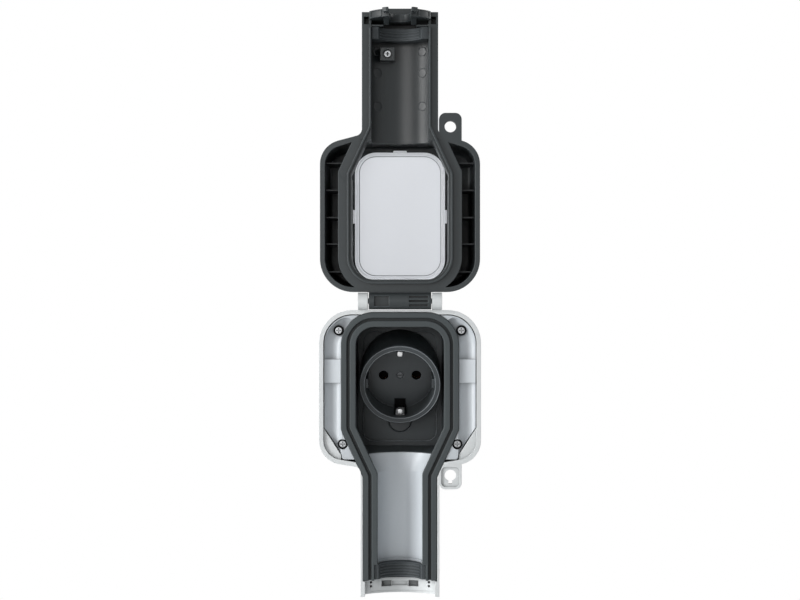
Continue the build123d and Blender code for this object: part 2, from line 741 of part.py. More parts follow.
with BuildPart() as socket_body:
    with BuildSketch(SOCKET.offset(RECESS_DEPTH)):
        Circle(SOCKET_R)
    extrude(amount=-2 * RECESS_DEPTH)
    split(bisect_by=FRONT.offset(tray_floor), keep=Keep.BOTTOM)
    with BuildSketch(SOCKET):
        Circle(RECESS_R)
    extrude(amount=RECESS_DEPTH, mode=Mode.SUBTRACT)
    fillet(socket_body.faces().sort_by(socket_axis)[-1].edges(), RIM_ROUND)
    with BuildSketch(SOCKET.offset(-RECESS_FLOOR)):
        Circle(cavity_r)
    extrude(amount=-2 * RECESS_DEPTH, mode=Mode.SUBTRACT)
    with BuildSketch(SOCKET):
        with Locations((-RECESS_R, 0), (RECESS_R, 0)):
            Rectangle(2 * GUIDE_PROUD, GUIDE_WIDTH)
    extrude(amount=RECESS_DEPTH - GUIDE_SINK)
    with BuildSketch(SOCKET.offset(-2 * RECESS_FLOOR)):
        with Locations(*clip_spots):
            Rectangle(CLIP_SLOT_WIDTH, 2 * CLIP_SLOT_DEPTH)
    extrude(amount=2 * RECESS_FLOOR + RECESS_DEPTH - CLIP_SLOT_SINK, mode=Mode.SUBTRACT)
    with BuildSketch(SOCKET):
        with Locations(*pin_spots):
            Circle(PIN_HOLE_R)
        Circle(CENTRE_SCREW_R + SCREW_CLEARANCE)
    extrude(amount=-RECESS_FLOOR, mode=Mode.SUBTRACT)
    with BuildSketch(SOCKET):
        Circle(CENTRE_HEAD_R + SCREW_CLEARANCE)
    extrude(amount=-CENTRE_HEAD_H, mode=Mode.SUBTRACT)
    with BuildSketch(FRONT.offset(tray_floor)):
        with Locations((0, BUTTON_V)):
            Circle(BUTTON_R + 2 * SLIP)
    extrude(amount=button_top - tray_floor - 2 * SLIP, mode=Mode.SUBTRACT)

# Earth bracket: one bent strip with a sprung clip at each end
clip_view = Plane(origin=SOCKET.origin, x_dir=SOCKET.y_dir, z_dir=(1, 0, 0))
arm_r = RECESS_R + CLIP_SLOT_DEPTH / 2
strip_z = -RECESS_FLOOR - CLIP_THICK / 2
with BuildPart() as earth_bracket:
    with BuildSketch(clip_view):
        with BuildLine():
            FilletPolyline(
                (arm_r - CLIP_THICK, RECESS_DEPTH - CLIP_SLOT_SINK - CLIP_THICK),
                (RECESS_R - CLIP_BOW, RECESS_DEPTH / 2),
                (arm_r, RECESS_DEPTH / 4),
                (arm_r, strip_z),
                (-arm_r, strip_z),
                (-arm_r, RECESS_DEPTH / 4),
                (-RECESS_R + CLIP_BOW, RECESS_DEPTH / 2),
                (-arm_r + CLIP_THICK, RECESS_DEPTH - CLIP_SLOT_SINK - CLIP_THICK),
                radius=CLIP_THICK,
            )
        trace(line_width=CLIP_THICK)
    extrude(amount=CLIP_WIDTH / 2, both=True)
    with BuildSketch(SOCKET.offset(-RECESS_FLOOR)):
        Circle(CENTRE_SCREW_R + SCREW_CLEARANCE)
    extrude(amount=-2 * CLIP_THICK, mode=Mode.SUBTRACT)

with BuildPart() as socket_contacts:
    with BuildSketch(SOCKET.offset(-RECESS_FLOOR)):
        with Locations(*pin_spots):
            Circle(CONTACT_R)
            Circle(CONTACT_R - CONTACT_WALL, mode=Mode.SUBTRACT)
    extrude(amount=-CONTACT_LENGTH)
    with BuildSketch(SOCKET.offset(-RECESS_FLOOR - CONTACT_SLIT)):
        with Locations(*pin_spots):
            Rectangle(CONTACT_WALL, 3 * CONTACT_R)
    extrude(amount=-CONTACT_LENGTH, mode=Mode.SUBTRACT)

with BuildPart() as socket_screw:
    with BuildSketch(SOCKET.offset(-CENTRE_HEAD_H)):
        Circle(CENTRE_HEAD_R)
    extrude(amount=CENTRE_HEAD_H - RIM_GAP)
    fillet(socket_screw.faces().sort_by(socket_axis)[-1].edges(), CENTRE_HEAD_H / 4)
    with BuildSketch(SOCKET.offset(-CENTRE_HEAD_H)):
        Circle(CENTRE_SCREW_R)
    extrude(amount=CENTRE_HEAD_H - RECESS_FLOOR - 2 * CLIP_THICK)
    with BuildSketch(SOCKET):
        Rectangle(2 * CENTRE_HEAD_R, CENTRE_SCREW_R / 2)
    extrude(amount=-CENTRE_HEAD_H / 2, mode=Mode.SUBTRACT)

# Power button under the socket: cap, retaining collar and stem
collar_top = tray_back + BUTTON_LIFT
switch_top = board_front - SWITCH_HEIGHT
with BuildPart() as power_button:
    with BuildSketch(FRONT.offset(button_top)):
        with Locations((0, BUTTON_V)):
            Circle(BUTTON_R)
    extrude(amount=collar_top - button_top)
    fillet(power_button.faces().sort_by(Axis.Y)[0].edges(), BUTTON_ROUND)
    with BuildSketch(FRONT.offset(collar_top)):
        with Locations((0, BUTTON_V)):
            Circle(BUTTON_R + COLLAR_STEP)
    extrude(amount=COLLAR_STEP)
    with BuildSketch(FRONT.offset(collar_top)):
        with Locations((0, BUTTON_V)):
            Circle(STEM_R)
    extrude(amount=switch_top + BUTTON_LIFT - collar_top)

with BuildPart() as button_switch:
    with BuildSketch(FRONT.offset(switch_top)):
        with Locations((0, BUTTON_V)):
            RectangleRounded(SWITCH_SIDE, SWITCH_SIDE, STEM_R / 2)
    extrude(amount=SWITCH_HEIGHT)
    with BuildSketch(FRONT.offset(switch_top)):
        with Locations((0, BUTTON_V)):
            Circle(STEM_R + SLIP)
    extrude(amount=BUTTON_LIFT + BUTTON_TRAVEL + SLIP, mode=Mode.SUBTRACT)

# Plug on the back: round body, two pins and two earth strips
flange_front = housing_floor - PLUG_FLANGE
strip_floor = PLUG_R - STRIP_THICK
with BuildPart() as plug_body:
    with BuildSketch(Plane.XZ):
        Circle(PLUG_R)
    extrude(amount=PLUG_STANDOFF + SHELL_WALL)
    fillet(plug_body.faces().sort_by(Axis.Y)[-1].edges(), PLUG_ROUND)
    with BuildSketch(FRONT.offset(flange_front)):
        with Locations((0, HINGE_HEIGHT)):
            Circle(PLUG_R + PLUG_FLANGE)
    extrude(amount=PLUG_FLANGE)
    with BuildSketch(Plane.XZ):
        with Locations((-PLUG_R, 0), (PLUG_R, 0)):
            Rectangle(2 * GUIDE_NOTCH, GUIDE_WIDTH + GUIDE_PROUD)
        with Locations((0, PLUG_R), (0, -PLUG_R)):
            Rectangle(STRIP_WIDTH + RIM_GAP, 2 * STRIP_THICK)
    extrude(amount=PLUG_STANDOFF, mode=Mode.SUBTRACT)
    with BuildSketch(Plane.XZ):
        with Locations(*pin_spots):
            Circle(PIN_SHANK_R + PIN_SEAT)
    extrude(amount=HOUSING_DEPTH, mode=Mode.SUBTRACT)

with BuildPart() as plug_pins:
    with BuildSketch(Plane.XZ):
        with Locations(*pin_spots):
            Circle(PLUG_PIN_R)
    extrude(amount=-PLUG_PIN_LENGTH)
    fillet(plug_pins.faces().group_by(Axis.Y)[-1].edges(), PLUG_PIN_R * 0.8)
    with BuildSketch(Plane.XZ):
        with Locations(*pin_spots):
            Circle(PIN_SHANK_R)
    extrude(amount=HOUSING_DEPTH - board_back + PLUG_STANDOFF)

with BuildPart() as plug_earth_strips:
    with BuildSketch(Plane.XZ.offset(PLUG_ROUND)):
        with Locations((0, strip_floor + STRIP_THICK / 2), (0, -strip_floor - STRIP_THICK / 2)):
            Rectangle(STRIP_WIDTH, STRIP_THICK)
    extrude(amount=PLUG_STANDOFF - PLUG_ROUND)

# Circuit board and its parts
with BuildPart() as control_board:
    with BuildSketch(FRONT.offset(board_front)):
        with Locations((0, (BOARD_TOP + BOARD_END) / 2)):
            RectangleRounded(2 * board_half, BOARD_END - BOARD_TOP, STANDOFF_R)
        with Locations(*standoff_spots):
            Circle(BOARD_SCREW_R + SCREW_CLEARANCE, mode=Mode.SUBTRACT)
    extrude(amount=BOARD_THICK)

with BuildPart() as board_screws:
    with BuildSketch(FRONT.offset(board_front)):
        with Locations(*standoff_spots):
            Circle(2 * BOARD_SCREW_R)
    extrude(amount=-BOARD_SCREW_R)
    fillet(board_screws.faces().group_by(Axis.Y)[0].edges(), BOARD_SCREW_R / 2)
    with BuildSketch(FRONT.offset(board_front)):
        with Locations(*standoff_spots):
            Circle(BOARD_SCREW_R)
    extrude(amount=SCREW_LENGTH / 2)


def board_block(x, v, width, length, height, edge_r):
    """Moulded block that stands on the circuit board."""
    with BuildPart() as block:
        with BuildSketch(FRONT.offset(board_front)):
            with Locations((x, v)):
                Rectangle(width, length)
        extrude(amount=-height)
        fillet(block.edges().filter_by(Axis.Y), edge_r)
        fillet(block.faces().sort_by(Axis.Y)[0].edges(), edge_r)
    return block


relay = board_block(side_parts_x, RELAY_V, RELAY[0], RELAY[1], RELAY[2], BLOCK_ROUND)
power_module = board_block(-side_parts_x, RELAY_V, MODULE[0], MODULE[1], MODULE[2], BLOCK_ROUND)
radio_module = board_block(side_parts_x, RADIO_V, RADIO[0], RADIO[1], RADIO[2], BLOCK_ROUND)

with BuildPart() as filter_capacitor:
    with BuildSketch(FRONT.offset(board_front)):
        with Locations((-side_parts_x, RADIO_V)):
            Circle(CAPACITOR_R)
    extrude(amount=-CAPACITOR_HEIGHT)
    fillet(filter_capacitor.faces().sort_by(Axis.Y)[0].edges(), BLOCK_ROUND)

with BuildPart() as hinge_pin:
    with BuildSketch(side_view(-LUG_START - LUG_WIDTH)):
        Circle(HINGE_PIN_R)
    extrude(amount=2 * (LUG_START + LUG_WIDTH))
    chamfer(hinge_pin.faces().filter_by(GeomType.PLANE).edges(), HINGE_PIN_R / 5)

# Lid: drawn as (-x, v) from its own plane, with v running up from the hinge
LID = Plane(origin=(0, y_part, HINGE_HEIGHT), x_dir=(-1, 0, 0), z_dir=(0, 1, 0))
lid_floor = LID_DEPTH - LID_WALL
wall_outer = GROOVE_INSET - TONGUE_WIDTH / 2 - TONGUE_STEP
wall_inner = wall_outer + LID_WALL
body_end = BODY_BOTTOM - LID_RIM
band_end = body_end + LID_RIM / 2
panel_v = (PANEL_TOP + PANEL_END) / 2
panel_front = lid_floor - PANEL_PROUD
arm_x = PANEL_HALF + PANEL_FLANGE - ARM_THICK / 2
arm_v = PANEL_END + PANEL_FLANGE - ARM_THICK / 2
clamp_seat = BLOCK_TOP + CLAMP_SINK
channel_rise = LID_CHANNEL_DEPTH - LID_CHANNEL_SIDE
channel_r = (LID_CHANNEL_HALF**2 + channel_rise**2) / (2 * channel_rise)
channel_axis = LID_CHANNEL_DEPTH - channel_r
ejector_turn = radians(EJECTOR_ANGLE)


def lid_across(v):
    """Plane across the lid at distance v from the hinge, drawn as (x, w)."""
    return Plane(origin=(0, y_part, HINGE_HEIGHT + v), x_dir=(1, 0, 0), z_dir=(0, 0, 1))


def tapered_block(outline, plane, depth, taper, edge_r):
    """Drafted block with a rounded far edge."""
    with BuildPart() as block:
        with BuildSketch(plane):
            add(outline)
        extrude(amount=depth, taper=taper)
        fillet(block.faces().sort_by(Axis.Y)[-1].edges(), edge_r)
    return block.part


lid_hollow = tapered_block(
    body_outline(lid_half, LID_FALL, LID_RIM),
    LID.offset(RIM_GAP),
    lid_floor - RIM_GAP,
    LID_DRAFT,
    LID_EDGE_R - LID_RIM,
)

# Thin ribs that tie the lid's rim to its inner wall
with BuildPart() as lid_ribs:
    for rib_v in RIB_SPOTS:
        with BuildSketch(lid_across(rib_v)):
            with Locations((-lid_half, RIB_TOP), (channel_half, RIB_TOP)):
                Rectangle(
                    lid_half - channel_half,
                    LID_DEPTH,
                    align=(Align.MIN, Align.MIN),
                )
        extrude(amount=RIB_THICK / 2, both=True)
    add(lid_hollow, mode=Mode.INTERSECT)
    with BuildSketch(LID):
        add(seal_outline((wall_outer + wall_inner) / 2, SEAL_END))
        with Locations((0, panel_v)):
            RectangleRounded(2 * PANEL_HALF + 4 * SLIP, PANEL_END - PANEL_TOP, PANEL_R)
    extrude(amount=LID_DEPTH, mode=Mode.SUBTRACT)

with BuildPart() as lid_shell:
    add(
        tapered_block(
            body_outline(lid_half, LID_FALL),
            LID.offset(RIM_GAP),
            LID_DEPTH - RIM_GAP,
            LID_DRAFT,
            LID_EDGE_R,
        )
    )
    with BuildSketch(lid_across(neck_root)):
        add(trough_section(LID_NECK_HALF, LID_NECK_DEPTH, NECK_SIDE, RIM_GAP))
    extrude(amount=LID_NECK_END - neck_root)
    with BuildSketch(LID.offset(RIM_GAP)):
        with Locations((-EAR_X, (BODY_BOTTOM + EAR_END) / 2 - EAR_R)):
            RectangleRounded(2 * EAR_HALF, EAR_END - BODY_BOTTOM + 2 * EAR_R, EAR_R)
    extrude(amount=EAR_THICK)
    with BuildSketch(LID.offset(RIM_GAP)):
        add(neck_fillets(LID_NECK_HALF, BODY_BOTTOM + CROWN_RISE / 2))
    extrude(amount=NECK_SIDE)
    add(lid_hollow, mode=Mode.SUBTRACT)
    # Flat sealing band, its deep inner wall and the ribs
    with BuildSketch(LID.offset(RIM_GAP)):
        add(seal_outline(-BAND_REACH, SEAL_END))
        add(seal_outline(wall_inner, SEAL_END), mode=Mode.SUBTRACT)
        with Locations((0, band_end)):
            Rectangle(2 * lid_half, 2 * band_end, align=(Align.CENTER, Align.MAX), mode=Mode.INTERSECT)
    extrude(amount=LID_WALL)
    with BuildSketch(LID.offset(RIM_GAP)):
        add(seal_outline(wall_outer, SEAL_END))
        add(seal_outline(wall_inner, SEAL_END), mode=Mode.SUBTRACT)
        with Locations((0, band_end)):
            Rectangle(2 * lid_half, 2 * band_end, align=(Align.CENTER, Align.MAX), mode=Mode.INTERSECT)
    extrude(amount=SHOULDER_WALL)
    with BuildSketch(LID.offset(RIM_GAP)):
        add(seal_outline(wall_outer, SEAL_END))
        add(seal_outline(wall_inner, SEAL_END), mode=Mode.SUBTRACT)
        with Locations((0, SEAL_SHOULDER - SEAL_KNEE_R)):
            Rectangle(2 * lid_half, 2 * band_end, align=(Align.CENTER, Align.MAX), mode=Mode.INTERSECT)
    extrude(amount=lid_floor)
    add(lid_ribs.part)
    # Cable channel of the neck
    with BuildSketch(lid_across(body_end - LID_RIM)):
        add(trough_section(LID_CHANNEL_HALF, LID_CHANNEL_DEPTH, LID_CHANNEL_SIDE, 0))
    extrude(amount=LID_NECK_END - body_end + LID_RIM, mode=Mode.SUBTRACT)
    # Round marks of the ejector pins on both flanks of the channel
    for side in (-1, 1):
        ejector_x = side * (channel_r + EJECTOR_ROOT) * sin(ejector_turn)
        ejector_w = channel_axis + (channel_r + EJECTOR_ROOT) * cos(ejector_turn)
        inward = (-side * sin(ejector_turn), -cos(ejector_turn), 0)
        for ejector_v in EJECTOR_ROWS:
            spot = (ejector_x, y_part + ejector_w, HINGE_HEIGHT + ejector_v)
            with BuildSketch(Plane(origin=spot, x_dir=(0, 0, 1), z_dir=inward)):
                Circle(EJECTOR_R)
            extrude(amount=EJECTOR_ROOT + EJECTOR_PROUD)
    # Posts beside the cable at the end of the seal, and the rest that carries the cable outside
    with BuildSketch(lid_across(UPPER_SEAL_START + UPPER_SEAL_LENGTH + SLIP)):
        add(trough_section(LID_CHANNEL_HALF, LID_CHANNEL_DEPTH, LID_CHANNEL_SIDE, WEIR_EDGE))
        Rectangle(*WEIR_GAP, align=(Align.CENTER, Align.MIN), mode=Mode.SUBTRACT)
    extrude(amount=WEIR_THICK)
    with BuildSketch(lid_across(LID_NECK_END - LATCH_INSET / 2)):
        with Locations((0, REST_TOP)):
            Rectangle(*CORD_REST, align=(Align.CENTER, Align.MIN))
    extrude(amount=REST_LENGTH)
    # Tongue that enters the gasket's groove
    with BuildSketch(LID.offset(-TONGUE_HEIGHT)):
        add(seal_outline(GROOVE_INSET - TONGUE_WIDTH / 2, TONGUE_END))
        add(seal_outline(GROOVE_INSET + TONGUE_WIDTH / 2, TONGUE_END), mode=Mode.SUBTRACT)
    extrude(amount=TONGUE_HEIGHT + LID_WALL / 2)
    # Window of the panel, its outer seat and the three clip slots
    with BuildSketch(LID.offset(panel_front - SLIP)):
        with Locations((0, panel_v)):
            RectangleRounded(2 * (PANEL_HALF + SLIP), PANEL_END - PANEL_TOP + 2 * SLIP, PANEL_R + SLIP)
    extrude(amount=LID_DEPTH - panel_front + SLIP, mode=Mode.SUBTRACT)
    with BuildSketch(LID.offset(LID_DEPTH)):
        with Locations((0, panel_v)):
            RectangleRounded(
                2 * (PANEL_HALF + PANEL_FLANGE + SLIP),
                PANEL_END - PANEL_TOP + 2 * (PANEL_FLANGE + SLIP),
                PANEL_R + PANEL_FLANGE + SLIP,
            )
    extrude(amount=-PANEL_SEAT, mode=Mode.SUBTRACT)
    with BuildSketch(LID.offset(LID_DEPTH)):
        with Locations((-arm_x, panel_v), (arm_x, panel_v)):
            Rectangle(ARM_THICK + 2 * RIM_GAP, ARM_LENGTH + 2 * SLIP)
        with Locations((0, arm_v)):
            Rectangle(ARM_LENGTH + 2 * SLIP, ARM_THICK + 2 * RIM_GAP)
    extrude(amount=-LID_WALL, mode=Mode.SUBTRACT)
    # Hinge knuckle with its moulded pockets
    with BuildSketch(side_view(-KNUCKLE_HALF)):
        Circle(HINGE_R)
        with BuildLine():
            Polyline(
                (RIM_GAP, 0),
                (RIM_GAP, LUG_REACH),
                (LUG_ROOT, LUG_REACH),
                (HINGE_R, 0),
                close=True,
            )
        make_face()
        Circle(HINGE_PIN_R + HINGE_RUNNING, mode=Mode.SUBTRACT)
    extrude(amount=2 * KNUCKLE_HALF)
    with BuildSketch(LID.offset(-HINGE_R)):
        with Locations((POCKET_X, 0)):
            Rectangle(*POCKET)
        with Locations((-POCKET_X, 0)):
            with GridLocations(0, SLOT_PITCH, 1, 3):
                Rectangle(POCKET[0] + SLOT_PITCH, SLOT_WIDTH)
    extrude(amount=HINGE_R - HINGE_PIN_R - POCKET_FLOOR, mode=Mode.SUBTRACT)
    # Padlock hole, pockets at the rail ends and the boss of the clamp screw
    with BuildSketch(LID):
        with Locations((-EAR_X, EAR_V)):
            Circle(EAR_HOLE_R)
    extrude(amount=2 * EAR_THICK, mode=Mode.SUBTRACT)
    with BuildSketch(LID):
        with Locations((-RAIL_POCKET_X, RAIL_POCKET_V), (RAIL_POCKET_X, RAIL_POCKET_V)):
            Rectangle(*RAIL_POCKET)
    extrude(amount=NECK_SIDE, mode=Mode.SUBTRACT)
    with BuildSketch(LID.offset(BLOCK_TOP)):
        with Locations((-BLOCK_X, BLOCK_V)):
            Rectangle(*CLAMP_BLOCK)
    extrude(amount=LID_CHANNEL_DEPTH - BLOCK_TOP)
    with BuildSketch(LID.offset(BLOCK_TOP)):
        with Locations((-BLOCK_X, BLOCK_V)):
            Circle(CLAMP_SINK_R)
    extrude(amount=CLAMP_SINK, mode=Mode.SUBTRACT)
    with BuildSketch(LID.offset(clamp_seat)):
        with Locations((-BLOCK_X, BLOCK_V)):
            Circle(BOARD_SCREW_R + SCREW_CLEARANCE)
    extrude(amount=SCREW_LENGTH / 2, mode=Mode.SUBTRACT)

with BuildPart() as clamp_screw:
    with BuildSketch(LID.offset(clamp_seat)):
        with Locations((-BLOCK_X, BLOCK_V)):
            Circle(2 * BOARD_SCREW_R)
    extrude(amount=-BOARD_SCREW_R)
    fillet(clamp_screw.faces().sort_by(Axis.Y)[0].edges(), BOARD_SCREW_R / 2)
    with BuildSketch(LID.offset(clamp_seat)):
        with Locations((-BLOCK_X, BLOCK_V)):
            Circle(BOARD_SCREW_R)
    extrude(amount=SCREW_LENGTH / 2 - SLIP)

# Lid panel: light cover set into the lid's face from outside
with BuildPart() as lid_panel:
    with BuildSketch(LID.offset(panel_front)):
        with Locations((0, panel_v)):
            RectangleRounded(2 * PANEL_HALF, PANEL_END - PANEL_TOP, PANEL_R)
    extrude(amount=LID_DEPTH - PANEL_SEAT - panel_front)
    panel_face = lid_panel.faces().sort_by(Axis.Y)[0]
    chamfer(panel_face.edges(), PANEL_BEVEL, PANEL_DROP, reference=panel_face)
    with BuildSketch(LID.offset(LID_DEPTH - PANEL_SEAT)):
        with Locations((0, panel_v)):
            RectangleRounded(
                2 * (PANEL_HALF + PANEL_FLANGE),
                PANEL_END - PANEL_TOP + 2 * PANEL_FLANGE,
                PANEL_R + PANEL_FLANGE,
            )
    extrude(amount=PANEL_SEAT)
    fillet(lid_panel.faces().sort_by(Axis.Y)[-1].edges(), PANEL_SEAT / 3)
    # Snap arms that rise from the flange through the lid's floor
    with BuildSketch(LID.offset(lid_floor - ARM_RISE)):
        with Locations((-arm_x, panel_v), (arm_x, panel_v)):
            Rectangle(ARM_THICK, ARM_LENGTH)
        with Locations((0, arm_v)):
            Rectangle(ARM_LENGTH, ARM_THICK)
    extrude(amount=LID_DEPTH - PANEL_SEAT - lid_floor + ARM_RISE)

# Upper cable seal: rubber saddle across the lid's channel
with BuildPart() as upper_cable_seal:
    with BuildSketch(lid_across(UPPER_SEAL_START)):
        add(
            trough_section(
                LID_CHANNEL_HALF - RIM_GAP, LID_CHANNEL_DEPTH - RIM_GAP, LID_CHANNEL_SIDE, SADDLE_EDGE
            )
        )
        with BuildLine():
            ThreePointArc((-CABLE_HALF, SADDLE_EDGE), (0, CABLE_DIP), (CABLE_HALF, SADDLE_EDGE))
            Line((CABLE_HALF, SADDLE_EDGE), (-CABLE_HALF, SADDLE_EDGE))
        make_face(mode=Mode.SUBTRACT)
    extrude(amount=UPPER_SEAL_LENGTH)

# End latch: arched end plate with a cable notch and two snap hooks
with BuildPart() as end_latch:
    with BuildSketch(lid_across(latch_start)):
        add(trough_section(LID_CHANNEL_HALF - RIM_GAP, LID_CHANNEL_DEPTH - RIM_GAP, LID_CHANNEL_SIDE, 0))
        with BuildLine():
            Polyline((-ARCH_HALF, -ARCH_SIDE), (-ARCH_HALF, 0), (ARCH_HALF, 0), (ARCH_HALF, -ARCH_SIDE))
            ThreePointArc((ARCH_HALF, -ARCH_SIDE), (0, -ARCH_HEIGHT), (-ARCH_HALF, -ARCH_SIDE))
        make_face()
        Circle(NOTCH_R, mode=Mode.SUBTRACT)
        Rectangle(
            2 * NOTCH_R,
            2 * ARCH_HEIGHT,
            align=(Align.CENTER, Align.MAX),
            mode=Mode.SUBTRACT,
        )
    extrude(amount=LATCH_THICK)
    for side in (-1, 1):
        with BuildSketch(lid_across(hook_v - HOOK_THICK / 2)):
            with BuildLine():
                Polyline(
                    (side * (HOOK_X - HOOK_WIDTH / 2), -ARCH_HEIGHT / 2),
                    (side * (HOOK_X - HOOK_WIDTH / 2), -HOOK_REACH),
                    (side * HOOK_X, -HOOK_REACH),
                    (side * (HOOK_X + HOOK_WIDTH / 2 + HOOK_BARB), -HOOK_REACH + HOOK_WIDTH / 2),
                    (side * (HOOK_X + HOOK_WIDTH / 2), -HOOK_REACH + HOOK_WIDTH),
                    (side * (HOOK_X + HOOK_WIDTH / 2), -ARCH_HEIGHT / 2),
                    close=True,
                )
            make_face()
        extrude(amount=HOOK_THICK)
        with BuildSketch(side_view(side * HOOK_X)):
            with BuildLine():
                Polyline(
                    (0, latch_start - GUSSET_FOOT),
                    (0, latch_start + GUSSET_TOP),
                    (-GUSSET_HEIGHT, latch_start + GUSSET_TOP),
                    close=True,
                )
            make_face()
        extrude(amount=HOOK_WIDTH / 2, both=True)

pieces = {
    "rear_housing": rear_housing,
    "front_frame": front_frame,
    "frame_screws": frame_screws,
    "base_gasket": base_gasket,
    "lower_cable_seal": lower_cable_seal,
    "socket_tray": socket_tray,
    "socket_body": socket_body,
    "earth_bracket": earth_bracket,
    "socket_contacts": socket_contacts,
    "socket_screw": socket_screw,
    "power_button": power_button,
    "button_switch": button_switch,
    "plug_body": plug_body,
    "plug_pins": plug_pins,
    "plug_earth_strips": plug_earth_strips,
    "control_board": control_board,
    "board_screws": board_screws,
    "relay": relay,
    "power_module": power_module,
    "radio_module": radio_module,
    "filter_capacitor": filter_capacitor,
    "hinge_pin": hinge_pin,
    "lid_shell": lid_shell,
    "lid_panel": lid_panel,
    "upper_cable_seal": upper_cable_seal,
    "end_latch": end_latch,
    "clamp_screw": clamp_screw,
}
os.makedirs("parts", exist_ok=True)
for piece_name, piece in pieces.items():
    piece.part.label = piece_name
    export_step(piece.part, f"parts/{piece_name}.step")
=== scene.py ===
"""Finishes, moulded details, studio and camera for a weatherproof plug-in socket with an open lid."""

import logging
import math
from collections.abc import Iterable, Sequence
from dataclasses import KW_ONLY, dataclass, field
from enum import Enum

import bmesh
import bpy
from mathutils import Matrix, Vector


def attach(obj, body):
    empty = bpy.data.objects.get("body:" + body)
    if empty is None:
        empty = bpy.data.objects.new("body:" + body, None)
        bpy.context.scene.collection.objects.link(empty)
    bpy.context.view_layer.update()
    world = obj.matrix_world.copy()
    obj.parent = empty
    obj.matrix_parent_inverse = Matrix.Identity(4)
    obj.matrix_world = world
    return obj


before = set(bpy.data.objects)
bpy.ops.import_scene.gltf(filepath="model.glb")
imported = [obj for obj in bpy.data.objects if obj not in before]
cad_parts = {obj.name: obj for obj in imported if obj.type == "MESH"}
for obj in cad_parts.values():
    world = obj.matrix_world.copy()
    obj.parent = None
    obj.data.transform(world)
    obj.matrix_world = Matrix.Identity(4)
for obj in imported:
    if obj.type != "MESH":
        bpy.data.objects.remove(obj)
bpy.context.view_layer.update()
LOG = logging.getLogger("outdoor_socket")
MM = 0.001

# Directions about Z, in degrees from X
TO_WALL = 90.0
TO_VIEWER = 270.0


@dataclass(frozen=True)
class Tint:
    """A display colour with channels from 0 to 255."""

    red: int
    green: int
    blue: int

    def linear(self) -> tuple[float, float, float, float]:
        """Works the colour out in scene-linear light.

        Returns:
            Red, green and blue, and full alpha.
        """
        shares = (channel / 255 for channel in (self.red, self.green, self.blue))
        light = [s / 12.92 if s <= 0.04045 else ((s + 0.055) / 1.055) ** 2.4 for s in shares]
        return (light[0], light[1], light[2], 1.0)


@dataclass(frozen=True)
class Port:
    """One named socket of a shader node group."""

    name: str
    kind: str = "NodeSocketFloat"
    value: float | None = None


@dataclass(frozen=True)
class NoiseForm:
    """A noise pattern: its octaves, features per metre and weight of the finer octaves."""

    octaves: float
    scale: float | None = None
    crispness: float = 0.5


class ToolGrain(Enum):
    """Surface that the mould leaves: grains per metre, and their depth in metres."""

    ERODED = (1500.0, 0.00009)
    SATIN = (2600.0, 0.00004)
    POLISHED = (420.0, 0.00002)
    RUBBER = (900.0, 0.00008)


Feed = bpy.types.NodeSocket | float | tuple[float, ...]


